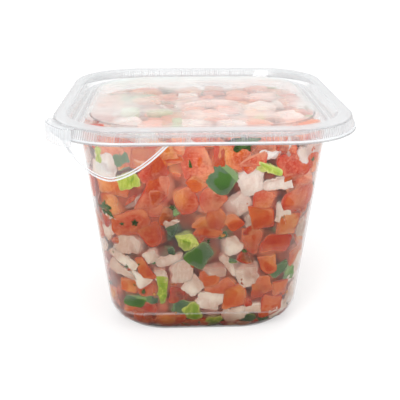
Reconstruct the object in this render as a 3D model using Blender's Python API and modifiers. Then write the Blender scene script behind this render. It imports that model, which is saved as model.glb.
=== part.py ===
"""Pico de gallo in a clear square deli tub with its press-on lid.

Units are metres and +Z is up. The origin is the middle of the underside of the tub's base.
The pull tab of the lid hangs at the front, which is the -Y side, beside the left corner.
"""
import math
import random

import bmesh
import bpy
from mathutils import Euler, Matrix, Vector

# Driving sizes of the pack
LID_WIDTH = 0.124
LID_CORNER = 0.0305
PACK_HEIGHT = 0.0984
BASE_WIDTH = 0.0795
BEND_WIDTH = 0.085
BEND_HEIGHT = 0.0091
MOUTH_WIDTH = 0.100
MOUTH_HEIGHT = 0.0898
TUB_SHEET = 0.0006
LID_SHEET = 0.0005

# Driving sizes of the filling
WALL_GAP = 0.00065
LID_GAP = 0.0007
FILL_HEIGHT = 0.0905
CORE_INSET = 0.0045
CORE_STEP = 0.001
DICE_PITCH = 0.0128
DICE_SEED = 11
KNIFE_SPREAD = (0.86, 1.08)
DICE_TILT = 0.35
NUDGE = 0.0003
MOST_NUDGES = 60

# The rows of dice on the wall
FIRST_ROW_LIFT = 0.003
LAST_ROW_DROP = 0.004
SIDE_JITTER = 0.2
HEIGHT_JITTER = 0.0015

# The layers of dice on the top and on the base; the corners of a layer are cut round
TOP_LAYER_LIFT = 0.001
TOP_LAYER_RISE = 0.0022
TOP_LAYER_INSET = 0.004
BASE_LAYER_INSET = 0.001
LAYER_STRAIGHT = 0.6
LAYER_CORNER = 0.42
LAYER_JITTER = 0.002

# Diced tomato, diced onion and slivers of pepper: the draw up to which each is picked, its depth, its sides
DICE_KINDS = (
    (0.55, 0.0095, (0.009, 0.012), (0.009, 0.012)),
    (0.85, 0.0085, (0.007, 0.010), (0.007, 0.010)),
    (1.00, 0.0080, (0.004, 0.006), (0.010, 0.014)),
)

CORNER_STEPS = 7
CORE_CORNER_STEPS = 4


def rounded_square(half, radius, height, steps=CORNER_STEPS):
    """Points round a square with rounded corners, counter-clockwise, at one height."""
    points = []
    for quarter in range(4):
        middle = math.radians(45 + 90 * quarter)
        reach = (half - radius) * math.sqrt(2)
        centre = Vector((reach * math.cos(middle), reach * math.sin(middle), height))
        for step in range(steps + 1):
            angle = math.radians(90 * quarter) + math.pi / 2 * step / steps
            points.append(centre + radius * Vector((math.cos(angle), math.sin(angle), 0)))
    return points


def loft(name, rings, cap_first=False, cap_last=False):
    """Mesh object of a surface that runs through rings of equal point counts."""
    mesh = bpy.data.meshes.new(name)
    bm = bmesh.new()
    rows = [[bm.verts.new(point) for point in ring] for ring in rings]
    for lower, upper in zip(rows[:-1], rows[1:]):
        for i in range(len(lower)):
            j = (i + 1) % len(lower)
            bm.faces.new((lower[i], lower[j], upper[j], upper[i]))
    if cap_first:
        bm.faces.new(list(reversed(rows[0])))
    if cap_last:
        bm.faces.new(rows[-1])
    bm.to_mesh(mesh)
    bm.free()
    return bpy.data.objects.new(name, mesh)


def solidify(item, thickness):
    """Gives an open surface its wall, laid inward of the faces."""
    modifier = item.modifiers.new("wall", "SOLIDIFY")
    modifier.thickness = thickness
    modifier.offset = -1
    modifier.use_even_offset = True


def shade(item, angle=35):
    """Shades an object smooth, with its sharp edges kept."""
    item.data.shade_smooth()
    item.data.set_sharp_from_angle(angle=math.radians(angle))


def material(name, colour, roughness, alpha=1.0):
    """Principled material with one colour."""
    made = bpy.data.materials.new(name)
    made.use_nodes = True
    shader = made.node_tree.nodes["Principled BSDF"]
    shader.inputs["Base Color"].default_value = (*colour, 1)
    shader.inputs["Roughness"].default_value = roughness
    shader.inputs["Metallic"].default_value = 0
    shader.inputs["Alpha"].default_value = alpha
    made.diffuse_color = (*colour, alpha)
    return made


def union(target, pieces):
    """Joins a collection of closed pieces to an object and removes them."""
    modifier = target.modifiers.new("union", "BOOLEAN")
    modifier.operation = "UNION"
    modifier.operand_type = "COLLECTION"
    modifier.collection = pieces
    modifier.solver = "MANIFOLD"
    graph = bpy.context.evaluated_depsgraph_get()
    joined = bpy.data.meshes.new_from_object(target.evaluated_get(graph))
    target.modifiers.clear()
    old = target.data
    target.data = joined
    joined.name = old.name + "_joined"
    bpy.data.meshes.remove(old)
    for piece in list(pieces.objects):
        bpy.data.objects.remove(piece)
    bpy.data.collections.remove(pieces)


def keep_main_body(item):
    """Drops loose scraps and fills sealed hollows, by keeping only the largest shell."""
    bm = bmesh.new()
    bm.from_mesh(item.data)
    left = set(bm.faces)
    shells = []
    while left:
        shell = set()
        front = [left.pop()]
        while front:
            face = front.pop()
            shell.add(face)
            for edge in face.edges:
                for other in edge.link_faces:
                    if other in left:
                        left.remove(other)
                        front.append(other)
        shells.append(shell)
    shells.sort(key=lambda shell: sum(face.calc_area() for face in shell))
    for shell in shells[:-1]:
        bmesh.ops.delete(bm, geom=list(shell), context="FACES")
    bm.to_mesh(item.data)
    bm.free()


# The tub; each station is a half width, a corner radius and a height

BASE = (BASE_WIDTH / 2, 0.0240, 0.0)
FOOT = (BEND_WIDTH / 2 - 0.0011, 0.0190, 0.0036)
BEND = (BEND_WIDTH / 2, 0.0158, BEND_HEIGHT)
MOUTH = (MOUTH_WIDTH / 2, 0.0185, MOUTH_HEIGHT)
LEDGE = (MOUTH_WIDTH / 2 + 0.0052, 0.0270, MOUTH_HEIGHT + 0.0008)
RIM_TOP = PACK_HEIGHT - 0.0018
RIM_INNER = (LEDGE[0] + 0.0016, 0.0280, RIM_TOP)
RIM_OUTER = (LID_WIDTH / 2 - 0.0036, 0.0287, RIM_TOP)
RIM_EDGE = (LID_WIDTH / 2 - 0.0032, 0.0290, RIM_TOP - 0.0020)


def make_tub(finish):
    """Thin clear tub: flat base, sloping foot, tapered walls, a ledge and a turned rim."""
    stations = (BASE, FOOT, BEND, MOUTH, LEDGE, RIM_INNER, RIM_OUTER, RIM_EDGE)
    tub = loft("tub", [rounded_square(*station) for station in stations], cap_first=True)
    solidify(tub, TUB_SHEET)
    shade(tub)
    tub.data.materials.append(finish)
    return tub


# The lid, with stations as on the tub

LIP = (LID_WIDTH / 2, LID_CORNER, PACK_HEIGHT - 0.0055)
SKIRT_LOW = (LID_WIDTH / 2 - 0.0006, LID_CORNER - 0.0003, PACK_HEIGHT - 0.0045)
SHOULDER = (LID_WIDTH / 2 - 0.0018, LID_CORNER - 0.0012, PACK_HEIGHT - 0.0007)
CROWN_OUTER = (LID_WIDTH / 2 - 0.0026, LID_CORNER - 0.0015, PACK_HEIGHT)
CROWN_INNER = (LID_WIDTH / 2 - 0.0062, LID_CORNER - 0.0020, PACK_HEIGHT)
GROOVE_OUTER = (LID_WIDTH / 2 - 0.0084, LID_CORNER - 0.0024, PACK_HEIGHT - 0.0046)
GROOVE_INNER = (LID_WIDTH / 2 - 0.0104, LID_CORNER - 0.0040, PACK_HEIGHT - 0.0048)
INNER_RING = (LID_WIDTH / 2 - 0.0133, LID_CORNER - 0.0070, PACK_HEIGHT - 0.0027)
PANEL = (LID_WIDTH / 2 - 0.0155, LID_CORNER - 0.0005, PACK_HEIGHT - 0.0022)

TAB_MIDDLE = 0.0365
TAB_HALF_WIDTH = 0.0225
TAB_DROP = 0.0142
TAB_THICKNESS = 0.0007
TAB_SET_BACK = 0.0001
TAB_LEAN = 0.05
TAB_BOW = 1.7
TAB_LEAST_DROP = 0.0004
TAB_STEPS = 18
GRIP_START = 0.0500
GRIP_END = 0.0700
GRIP_PROUD = 0.0022
GRIP_DROP = 0.0018
GRIP_TAPER = 0.004
GRIP_TOP_DROP = 0.0004
GRIP_DRAFT = 0.0007
GRIP_LOW_ROOT = 0.0006
GRIP_HIGH_ROOT = 0.0016
GRIP_END_SHARE = 0.35
GRIP_STEPS = 8


def along_lip(distance):
    """Point and outward direction on the lip, at a distance left of the middle of the front edge."""
    straight = LIP[0] - LIP[1]
    if distance <= straight:
        return Vector((-distance, -LIP[0], 0)), Vector((0, -1, 0))
    angle = (distance - straight) / LIP[1]
    outward = Vector((-math.sin(angle), -math.cos(angle), 0))
    centre = Vector((-straight, -straight, 0))
    return centre + LIP[1] * outward, outward


def lip_sweep(name, start, end, steps, section):
    """Closed solid that follows the lip; section gives the (outset, height) corners at a distance."""
    rings = []
    for step in range(steps + 1):
        distance = start + (end - start) * step / steps
        point, outward = along_lip(distance)
        corners = section(distance)
        rings.append([point + outward * outset + Vector((0, 0, height)) for outset, height in corners])
    return loft(name, rings, cap_first=True, cap_last=True)


def tab_section(distance):
    """Section of the pull tab: a thin flap that hangs under the lip and ends in a bow."""
    across = min(abs(distance - TAB_MIDDLE) / TAB_HALF_WIDTH, 1)
    drop = max(TAB_DROP * (1 - across ** TAB_BOW), TAB_LEAST_DROP)
    top = SKIRT_LOW[2] - TAB_SET_BACK
    low = LIP[2] - drop
    lean = TAB_LEAN * drop
    outer = -TAB_SET_BACK
    inner = outer - TAB_THICKNESS
    return ((inner - lean, low), (outer - lean, low), (outer, top), (inner, top))


def grip_section(distance):
    """Section of the grip: a ledge that stands proud of the skirt round the left front corner."""
    nearest = min(distance - GRIP_START, GRIP_END - distance)
    proud = GRIP_PROUD * min(1, GRIP_END_SHARE + nearest / GRIP_TAPER)
    top = SHOULDER[2] - GRIP_TOP_DROP
    low = LIP[2] - GRIP_DROP
    return ((-GRIP_LOW_ROOT, low), (proud, low), (proud - GRIP_DRAFT, top), (-GRIP_HIGH_ROOT, top))


def make_lid(finish):
    """Thin clear lid: skirt, crown, groove and flat panel, with the grip and the pull tab joined on."""
    outer = (LIP, SKIRT_LOW, SHOULDER, CROWN_OUTER, CROWN_INNER)
    inner = (GROOVE_OUTER, GROOVE_INNER, INNER_RING, PANEL)
    lid = loft("lid", [rounded_square(*station) for station in outer + inner], cap_last=True)
    bpy.context.scene.collection.objects.link(lid)
    solidify(lid, LID_SHEET)
    fittings = bpy.data.collections.new("lid_fittings")
    tab_ends = (TAB_MIDDLE - TAB_HALF_WIDTH, TAB_MIDDLE + TAB_HALF_WIDTH)
    fittings.objects.link(lip_sweep("tab", *tab_ends, TAB_STEPS, tab_section))
    fittings.objects.link(lip_sweep("grip", GRIP_START, GRIP_END, GRIP_STEPS, grip_section))
    union(lid, fittings)
    keep_main_body(lid)
    bpy.context.scene.collection.objects.unlink(lid)
    shade(lid)
    lid.data.materials.append(finish)
    return lid


# The filling

FLOOR = TUB_SHEET + WALL_GAP
CEILING = INNER_RING[2] - LID_SHEET - LID_GAP


def room_at(height):
    """Half width and corner radius of the space inside the tub at a height, square to its sloping wall."""
    stations = (BASE, FOOT, BEND, MOUTH)
    height = min(max(height, BASE[2]), MOUTH[2])
    for low, high in zip(stations[:-1], stations[1:]):
        if height <= high[2]:
            break
    rise = high[2] - low[2]
    run = high[0] - low[0]
    share = (height - low[2]) / rise
    inset = FLOOR * math.hypot(rise, run) / rise
    half = low[0] + run * share
    radius = low[1] + (high[1] - low[1]) * share
    return half - inset, radius - inset


def outside(point):
    """How far a point lies outside the space, level by level; negative when inside."""
    half, radius = room_at(point.z)
    straight = half - radius
    x = abs(point.x) - straight
    y = abs(point.y) - straight
    if x > 0 and y > 0:
        return math.hypot(x, y) - radius
    return max(x, y) - radius


def wall_place(share, height):
    """Point and outward direction on the inside wall, at a share of the way round."""
    half, radius = room_at(height)
    straight = half - radius
    side = 2 * straight
    arc = math.pi / 2 * radius
    distance = share * 4 * (side + arc)
    quarter = int(distance // (side + arc)) % 4
    rest = distance % (side + arc)
    turn = Matrix.Rotation(math.pi / 2 * quarter, 3, "Z")
    if rest < side:
        point = Vector((half, rest - straight, height))
        outward = Vector((1, 0, 0))
    else:
        angle = (rest - side) / radius
        outward = Vector((math.cos(angle), math.sin(angle), 0))
        point = Vector((straight, straight, height)) + radius * outward
    return turn @ point, turn @ outward


def dice_mesh(name, size):
    """Closed block with each corner at its place, before it is turned."""
    mesh = bpy.data.meshes.new(name)
    bm = bmesh.new()
    bmesh.ops.create_cube(bm, size=1)
    bmesh.ops.scale(bm, vec=size, verts=bm.verts)
    bm.to_mesh(mesh)
    bm.free()
    return mesh


def uneven(mesh, draw):
    """Moves the corners of a block a little, as a knife would."""
    for vertex in mesh.vertices:
        vertex.co *= draw.uniform(*KNIFE_SPREAD)


def place_dice(pieces, draw, name, point, outward, size):
    """Adds one block that rests against a wall, the floor or the top, wholly inside the space."""
    mesh = dice_mesh(name, size)
    uneven(mesh, draw)
    facing = outward.to_track_quat("X", "Z").to_matrix()
    tilts = (draw.uniform(-DICE_TILT, DICE_TILT) for _ in range(2))
    spin = Euler((draw.uniform(0, math.tau), *tilts))
    turn = facing @ spin.to_matrix()
    mesh.transform(turn.to_4x4())
    centre = Vector(point) - outward * (size[0] / 2)
    for _ in range(MOST_NUDGES):
        corners = [centre + vertex.co for vertex in mesh.vertices]
        worst = max(outside(corner) for corner in corners)
        lowest = min(corner.z for corner in corners)
        highest = max(corner.z for corner in corners)
        if worst <= 0 and lowest >= FLOOR and highest <= CEILING:
            break
        if worst > 0:
            centre -= Vector((centre.x, centre.y, 0)).normalized() * NUDGE
        if lowest < FLOOR:
            centre.z += NUDGE
        if highest > CEILING:
            centre.z -= NUDGE
    mesh.transform(Matrix.Translation(centre))
    pieces.objects.link(bpy.data.objects.new(name, mesh))


def dice_size(draw):
    """Depth, width and length of a block of one of the kinds."""
    pick = draw.random()
    for highest, depth, widths, lengths in DICE_KINDS:
        if pick < highest:
            break
    return depth, draw.uniform(*widths), draw.uniform(*lengths)


def wall_dice(pieces, draw):
    """Rows of dice all the way round, each row set off from the one below."""
    lowest = BEND_HEIGHT + FIRST_ROW_LIFT
    rows = round((FILL_HEIGHT - lowest) / DICE_PITCH)
    for row in range(rows):
        height = lowest + (FILL_HEIGHT - lowest - LAST_ROW_DROP) * row / (rows - 1)
        half, radius = room_at(height)
        round_trip = 8 * (half - radius) + math.tau * radius
        count = round(round_trip / DICE_PITCH)
        for i in range(count):
            share = ((i + 0.5 * (row % 2) + draw.uniform(-SIDE_JITTER, SIDE_JITTER)) / count) % 1
            point, outward = wall_place(share, height + draw.uniform(-HEIGHT_JITTER, HEIGHT_JITTER))
            place_dice(pieces, draw, f"wall_{row}_{i}", point, outward, dice_size(draw))


def level_dice(pieces, draw, label, height, reach, outward, rise):
    """A layer of dice on the top of the filling or against the base."""
    count = round(2 * reach / DICE_PITCH)
    for row in range(count):
        for column in range(count):
            x = (row + 0.5) / count * 2 - 1
            y = (column + 0.5) / count * 2 - 1
            if math.hypot(max(abs(x) - LAYER_STRAIGHT, 0), max(abs(y) - LAYER_STRAIGHT, 0)) > LAYER_CORNER:
                continue
            jitter = Vector((draw.uniform(-1, 1), draw.uniform(-1, 1), 0)) * LAYER_JITTER
            point = Vector((x * reach, y * reach, height + draw.uniform(-rise, rise))) + jitter
            place_dice(pieces, draw, f"{label}_{row}_{column}", point, outward, dice_size(draw))


def make_filling(finish):
    """Heap of dice on a smaller core, as it fills the tub from the base to near the lid."""
    rings = []
    for height in (BASE[2], FOOT[2], BEND[2], FILL_HEIGHT - CORE_INSET):
        half, radius = room_at(height)
        level = max(height, FLOOR + CORE_INSET) + CORE_STEP * len(rings)
        rings.append(rounded_square(half - CORE_INSET, radius - CORE_INSET, level, CORE_CORNER_STEPS))
    heap = loft("pico_de_gallo", rings, cap_first=True, cap_last=True)
    bpy.context.scene.collection.objects.link(heap)
    draw = random.Random(DICE_SEED)
    pieces = bpy.data.collections.new("dice")
    wall_dice(pieces, draw)
    up = Vector((0, 0, 1))
    top = FILL_HEIGHT + TOP_LAYER_LIFT
    level_dice(pieces, draw, "top", top, MOUTH[0] - TOP_LAYER_INSET, up, TOP_LAYER_RISE)
    level_dice(pieces, draw, "base", FLOOR, BASE[0] - BASE_LAYER_INSET, -up, 0)
    union(heap, pieces)
    keep_main_body(heap)
    bpy.context.scene.collection.objects.unlink(heap)
    heap.data.materials.append(finish)
    return heap


def main():
    for item in list(bpy.data.objects):
        bpy.data.objects.remove(item)
    clear = material("clear_plastic", (0.90, 0.92, 0.92), 0.08, alpha=0.35)
    salsa = material("diced_vegetables", (0.72, 0.22, 0.13), 0.4)
    pack = bpy.data.collections.new("pico_de_gallo_tub")
    bpy.context.scene.collection.children.link(pack)
    for piece in (make_tub(clear), make_lid(clear.copy()), make_filling(salsa)):
        pack.objects.link(piece)


main()
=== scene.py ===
"""Looks of the pico de gallo in its clear lidded tub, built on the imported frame, in metres."""

import math

import bpy
import numpy as np
from mathutils import Matrix, Vector


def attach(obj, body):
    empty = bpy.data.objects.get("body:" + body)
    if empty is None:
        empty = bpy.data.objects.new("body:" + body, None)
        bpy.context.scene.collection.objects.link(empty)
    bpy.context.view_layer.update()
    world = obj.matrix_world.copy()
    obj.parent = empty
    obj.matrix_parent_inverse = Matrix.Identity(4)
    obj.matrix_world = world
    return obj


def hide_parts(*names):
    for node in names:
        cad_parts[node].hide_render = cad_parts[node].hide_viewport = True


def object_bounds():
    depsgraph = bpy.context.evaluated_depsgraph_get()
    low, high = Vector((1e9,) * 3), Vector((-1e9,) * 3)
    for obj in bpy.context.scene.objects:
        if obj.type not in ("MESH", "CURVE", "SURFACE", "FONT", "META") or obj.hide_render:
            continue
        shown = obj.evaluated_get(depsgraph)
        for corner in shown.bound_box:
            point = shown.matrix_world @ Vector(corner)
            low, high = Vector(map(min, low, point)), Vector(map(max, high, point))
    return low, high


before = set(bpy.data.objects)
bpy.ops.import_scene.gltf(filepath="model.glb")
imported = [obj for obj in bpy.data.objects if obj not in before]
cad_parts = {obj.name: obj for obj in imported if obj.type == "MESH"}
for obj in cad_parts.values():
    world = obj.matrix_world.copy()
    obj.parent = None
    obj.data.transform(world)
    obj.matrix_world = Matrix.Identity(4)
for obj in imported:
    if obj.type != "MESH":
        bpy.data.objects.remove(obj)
cad_low, cad_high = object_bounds()

# Sizes that the frame gives
LID_HALF = cad_high.x
PACK_HEIGHT = cad_high.z
MM = 0.001

# Sections of the pack, as half width, corner radius and height, with the fillet at each bend
TUB_SECTION = (
    (39.75 * MM, 24.0 * MM, 0.0, 0.6 * MM),
    (41.4 * MM, 19.0 * MM, 3.6 * MM, 1.6 * MM),
    (42.5 * MM, 15.8 * MM, 9.1 * MM, 0.9 * MM),
    (50.0 * MM, 18.5 * MM, 89.8 * MM, 0.4 * MM),
    (55.2 * MM, 27.0 * MM, 90.6 * MM, 0.8 * MM),
    (56.8 * MM, 28.0 * MM, 96.6 * MM, 0.6 * MM),
    (58.4 * MM, 28.7 * MM, 96.6 * MM, 0.3 * MM),
    (58.8 * MM, 29.0 * MM, 94.6 * MM, 0.0),
)
LID_SECTION = (
    (LID_HALF - 1.7 * MM, 29.4 * MM, PACK_HEIGHT - 0.9 * MM, 0.0),
    (LID_HALF - 2.6 * MM, 29.0 * MM, PACK_HEIGHT, 0.6 * MM),
    (LID_HALF - 6.2 * MM, 28.5 * MM, PACK_HEIGHT, 0.9 * MM),
    (LID_HALF - 8.4 * MM, 28.1 * MM, PACK_HEIGHT - 4.6 * MM, 0.7 * MM),
    (LID_HALF - 10.4 * MM, 26.5 * MM, PACK_HEIGHT - 4.8 * MM, 0.7 * MM),
    (LID_HALF - 13.3 * MM, 23.5 * MM, PACK_HEIGHT - 2.7 * MM, 0.6 * MM),
    (LID_HALF - 15.3 * MM, 23.0 * MM, PACK_HEIGHT - 2.2 * MM, 0.4 * MM),
    (LID_HALF - 16.5 * MM, 22.0 * MM, PACK_HEIGHT - 2.2 * MM, 0.0),
)
SKIRT_SECTION = (
    (LID_HALF, 30.5 * MM, PACK_HEIGHT - 5.5 * MM, 0.0),
    (LID_HALF - 0.6 * MM, 30.2 * MM, PACK_HEIGHT - 4.5 * MM, 0.5 * MM),
    (LID_HALF - 1.8 * MM, 29.3 * MM, PACK_HEIGHT - 0.7 * MM, 0.0),
)
TUB_SHEET = 0.6 * MM
LID_SHEET = 0.5 * MM
FILLET_POINTS = 5
SHELL_STEPS = 20
SKIRT_ROWS = 9

# The filling
REACH_LOW = 0.02 * MM
REACH_HIGH = 0.14 * MM
PRESS_START = 0.5 * MM
OFF_DEPTH = 4 * MM
OPEN_TOP = 89 * MM
FILL_TOP = 89.5 * MM
CEILING = PACK_HEIGHT - 3.7 * MM

# The camera, as the photograph has it
CAMERA_DISTANCE = 310 * MM
CAMERA_ELEVATION = math.radians(22.35)
CAMERA_YAW = math.radians(-2.1)
CAMERA_AIM = Vector((-0.27 * MM, 0, 45.95 * MM))
FRAME_PIXELS = 400
FOCAL_PIXELS = 643
SENSOR_MM = 36


def camera_axes():
    """Unit vectors of the camera: back, right and up."""
    back = Vector((math.sin(CAMERA_YAW) * math.cos(CAMERA_ELEVATION),
                   -math.cos(CAMERA_YAW) * math.cos(CAMERA_ELEVATION),
                   math.sin(CAMERA_ELEVATION)))
    right = Vector((math.cos(CAMERA_YAW), math.sin(CAMERA_YAW), 0))
    return back, right, back.cross(right)


def camera_place():
    return CAMERA_AIM + camera_axes()[0] * CAMERA_DISTANCE


def sight_line(x, y):
    """Start and direction of the line of sight through a pixel of the photograph's frame."""
    back, right, up = camera_axes()
    across, down = ((pixel - FRAME_PIXELS / 2) / FOCAL_PIXELS for pixel in (x, y))
    return camera_place(), (-back + right * across - up * down).normalized()


# Shader expressions


def hue(red, green, blue):
    """Colour given as the 0 to 255 values of a screen, turned to linear light."""
    def linear(value):
        value /= 255
        return value / 12.92 if value <= 0.04045 else ((value + 0.055) / 1.055) ** 2.4
    return (linear(red), linear(green), linear(blue), 1)


class Link:
    """A shader value that takes part in Python expressions; each operation adds its Math node."""

    def __init__(self, paint, socket):
        self.paint = paint
        self.socket = socket

    def combine(self, operation, first, second):
        return self.paint.node("ShaderNodeMath", {"operation": operation}, {0: first, 1: second})

    def __add__(self, other):
        return self.combine("ADD", self, other)

    def __sub__(self, other):
        return self.combine("SUBTRACT", self, other)

    def __rsub__(self, other):
        return self.combine("SUBTRACT", other, self)

    def __mul__(self, other):
        return self.combine("MULTIPLY", self, other)

    def __pow__(self, other):
        return self.combine("POWER", self, other)

    __radd__ = __add__
    __rmul__ = __mul__


class Paint:
    """One material while its nodes are added."""

    def __init__(self, name):
        self.material = bpy.data.materials.new(name)
        self.material.use_nodes = True
        self.tree = self.material.node_tree
        self.tree.nodes.clear()

    def node(self, kind, settings=None, values=None, output=0):
        """Adds a node: its settings first, then the values or links of its sockets."""
        made = self.tree.nodes.new(kind)
        for name, value in (settings or {}).items():
            if name == "stops":
                self.set_stops(made.color_ramp, value)
            else:
                setattr(made, name, value)
        for name, value in (values or {}).items():
            if isinstance(value, Link):
                self.tree.links.new(value.socket, made.inputs[name])
            else:
                made.inputs[name].default_value = value
        return Link(self, made.outputs[output])

    @staticmethod
    def set_stops(ramp, stops):
        while len(ramp.elements) < len(stops):
            ramp.elements.new(0.5)
        for element, (place, colour) in zip(ramp.elements, stops):
            element.position = place
            element.color = colour

    def attribute(self, name, output="Fac"):
        return self.node("ShaderNodeAttribute", {"attribute_name": name}, output=output)

    def solid_place(self):
        """Where a point lies on the object."""
        return self.node("ShaderNodeTexCoord", output="Object")

    def part_of(self, place, axis):
        return self.node("ShaderNodeSeparateXYZ", values={"Vector": place}, output=axis)

    def mix(self, share, first, second, blend="MIX"):
        """Mixes two colours."""
        values = {0: share, 6: first, 7: second}
        return self.node("ShaderNodeMix", {"data_type": "RGBA", "blend_type": blend}, values, output=2)

    def tinted(self, share, colour, tint):
        """Multiplies a colour by a tint, as far as the share says."""
        return self.mix(share, colour, tint, "MULTIPLY")

    def coated(self, colour, **coats):
        """Lays coats over a colour one by one, each with its share and its own colour."""
        for share, coat in coats.values():
            colour = self.mix(share, colour, coat)
        return colour

    def noise(self, place, scale, detail, roughness=0.5):
        values = {"Vector": place, "Scale": scale, "Detail": detail, "Roughness": roughness}
        return self.node("ShaderNodeTexNoise", values=values)

    def spots(self, place, scale, detail, low, high, roughness=0.5):
        """Random spots, 0 where the noise is at the low value and 1 where it is at the high one."""
        return self.level(self.noise(place, scale, detail, roughness), low, high)

    def ramp(self, value, **stops):
        """Colours along a value; each stop has its place and its colour."""
        return self.node("ShaderNodeValToRGB", {"stops": tuple(stops.values())}, {"Fac": value})

    def level(self, value, low, high, start=0.0, end=1.0):
        """The value moved from one range to another and held there."""
        values = {"Value": value, "From Min": low, "From Max": high, "To Min": start, "To Max": end}
        return self.node("ShaderNodeMapRange", {"clamp": True}, values)

    def facing(self):
        """0 where the surface faces the eye and 1 where it turns away."""
        return self.node("ShaderNodeLayerWeight", values={"Blend": 0.5}, output="Facing")

    def shader(self, kind, **values):
        """A shader; an underscore in the name of a value stands for the space in its socket's name."""
        sockets = {name.replace("_", " "): value for name, value in values.items()}
        return self.node("ShaderNode" + kind, values=sockets)

    def blended(self, share, first, second):
        return self.node("ShaderNodeMixShader", values={0: share, 1: first, 2: second})

    def done(self, shader):
        output = self.tree.nodes.new("ShaderNodeOutputMaterial")
        self.tree.links.new(shader.socket, output.inputs["Surface"])
        return self.material


# Paints

# Painted glow: pieces and juice give off a little of their own colour, several times more under the lid and
# more in the shallow gaps
LIGHT_THROUGH = 0.09
LIGHT_UNDER_LID = 4.1
LIGHT_IN_GAPS = 1.6

# Haze of the plastics: the panel's fog, with a painted reflection of the white surroundings that whitens it
# more towards its back and its sides
WHITE = (1, 1, 1, 1)
CLEAR = (0.99, 0.992, 0.993, 1)
SHARE_THROUGH = 0.45
CLOUD_SHARES = (0.55, 1.65)
FOG_BACK = (26 * MM, 39 * MM)
FOG_AT_BACK = 0.45
FOG_ASIDE = ((33 * MM) ** 2, (45 * MM) ** 2)
FOG_AT_SIDES = 0.12
COOL = (0.965, 0.985, 1.0)
FOG_TINT = (0.975, 1.035, 1.035)
BROWN = (1.0, 0.55, 0.36)

# Painted pale light on what lies under the lid, and the gaps that get painted glow
MIST = hue(250, 222, 200)
MIST_UNDER_LID = 0.32
GAP_NEAR = (0.02, 0.16)
GAP_FAR = (0.3, 0.6)
FLESH_DEPTHS = (4.0 * MM, 1.5 * MM, 1.0 * MM)

# Shade in the gaps, low down and at the foot, and the heights over which it fades
GAP_TINT = hue(92, 60, 64)
LOW_TINT = hue(190, 170, 140)
LOW_FADE = (54 * MM, 88 * MM)
FOOT_TINT = hue(132, 94, 62)
FOOT_FADE = (2 * MM, 11 * MM)
PULP_TOP = (83.5 * MM, 86.5 * MM)

# The film of juice: how it thickens, and the heights where it settles, deepens and ends
JUICE_SHARES = (0.0, 0.17)
FILM_BLUR = 0.6
JUICE_SETTLES = (3 * MM, 10 * MM)
JUICE_DEEPENS = (1 * MM, 7 * MM)
JUICE_ENDS = (80 * MM, 87 * MM)


def clear_plastic(name, haze=0.0, bloom=0.0, edge=0.2, grey=0.5, white=0.92, shine=0.03, cloud=0.0, ribs=0.0,
                  blur=0.0, tint=COOL):
    """Thin clear sheet: white where hazed or clouded, with a painted sheen on its ribs; where it turns away it
    has a painted white sheen, painted grey shade and a mirror-like gloss.
    """
    paint = Paint(name)
    facing = paint.facing()
    clear = paint.shader("BsdfTransparent", Color=CLEAR)
    if blur:
        clear = paint.blended(blur, clear, paint.shader("BsdfRefraction", Color=WHITE, Roughness=0.06, IOR=1.2))
    # The grey where the sheet turns away is painted shade, standing in for the darker things seen through its
    # edges
    turned_away = paint.shader("BsdfPrincipled", Base_Color=(grey, grey, grey * 1.02, 1), Roughness=0.3)
    pale = (*(white * share for share in tint), 1)
    front = paint.shader("BsdfPrincipled", Base_Color=pale, Roughness=0.6)
    scatter = paint.blended(SHARE_THROUGH, front, paint.shader("BsdfTranslucent", Color=pale))
    body = paint.blended(edge * facing ** 4.0, clear, turned_away)
    # The white share that grows where the sheet turns away is a painted sheen of the white surroundings
    scattered = haze + bloom * facing ** 2.0
    if cloud:
        place = paint.solid_place()
        low, high = CLOUD_SHARES
        clouds = paint.level(paint.noise(place, 42, 3), 0.38, 0.64, cloud * low, cloud * high)
        back, aside = paint.part_of(place, "Y"), paint.part_of(place, "X")
        # Towards the panel's back and its sides a painted reflection of the white surroundings is added to the
        # fog's clouds
        scattered = scattered + clouds + paint.level(back, *FOG_BACK, 0.0, FOG_AT_BACK)
        scattered = scattered + paint.level(aside * aside, *FOG_ASIDE, 0.0, FOG_AT_SIDES)
    # Ribbed plastic gets a painted sheen along its rib crests
    if ribs:
        scattered = scattered + ribs * paint.attribute("rib")
    gloss = paint.shader("BsdfGlossy", Color=WHITE, Roughness=0.05)
    hazed = paint.blended(scattered, body, scatter)
    return paint.done(paint.blended(shine + 0.5 * facing ** 6.0, hazed, gloss))


def wet_look(paint, colour, relief=None, relief_height=0.0, roughness=0.32, flesh=0.0, mist=MIST):
    """Look of a cut vegetable, with a painted glow of its own colour that keeps its depths warm; the glow is
    stronger in the shallow gaps and under the lid, where painted light also turns the colour paler.
    """
    lit, off = paint.attribute("lit"), paint.attribute("off")
    misted = paint.mix(lit * MIST_UNDER_LID, colour, mist)
    shallow = paint.level(off, *GAP_NEAR) * paint.level(off, *GAP_FAR, 1.0, 0.0)
    light = lit * (LIGHT_UNDER_LID - 1.0) + shallow * LIGHT_IN_GAPS + 1.0
    glow = paint.node("ShaderNodeVectorMath", {"operation": "SCALE"}, {0: misted, "Scale": light})
    bump = {}
    if relief is not None:
        values = {"Height": relief, "Distance": relief_height, "Strength": 1.0}
        bump["Normal"] = paint.node("ShaderNodeBump", values=values)
    return paint.done(paint.shader(
        "BsdfPrincipled", Base_Color=misted, Roughness=roughness, Specular_IOR_Level=0.12,
        Subsurface_Weight=flesh, Subsurface_Radius=FLESH_DEPTHS, Subsurface_Scale=1.0,
        Emission_Color=glow, Emission_Strength=LIGHT_THROUGH, **bump))


def cut_paint(name):
    """A new paint with a point's place on its piece, the piece's tone and the point's nearness to the rim."""
    paint = Paint(name)
    return paint, paint.attribute("place", "Vector"), paint.attribute("tone"), paint.attribute("rim")


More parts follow.
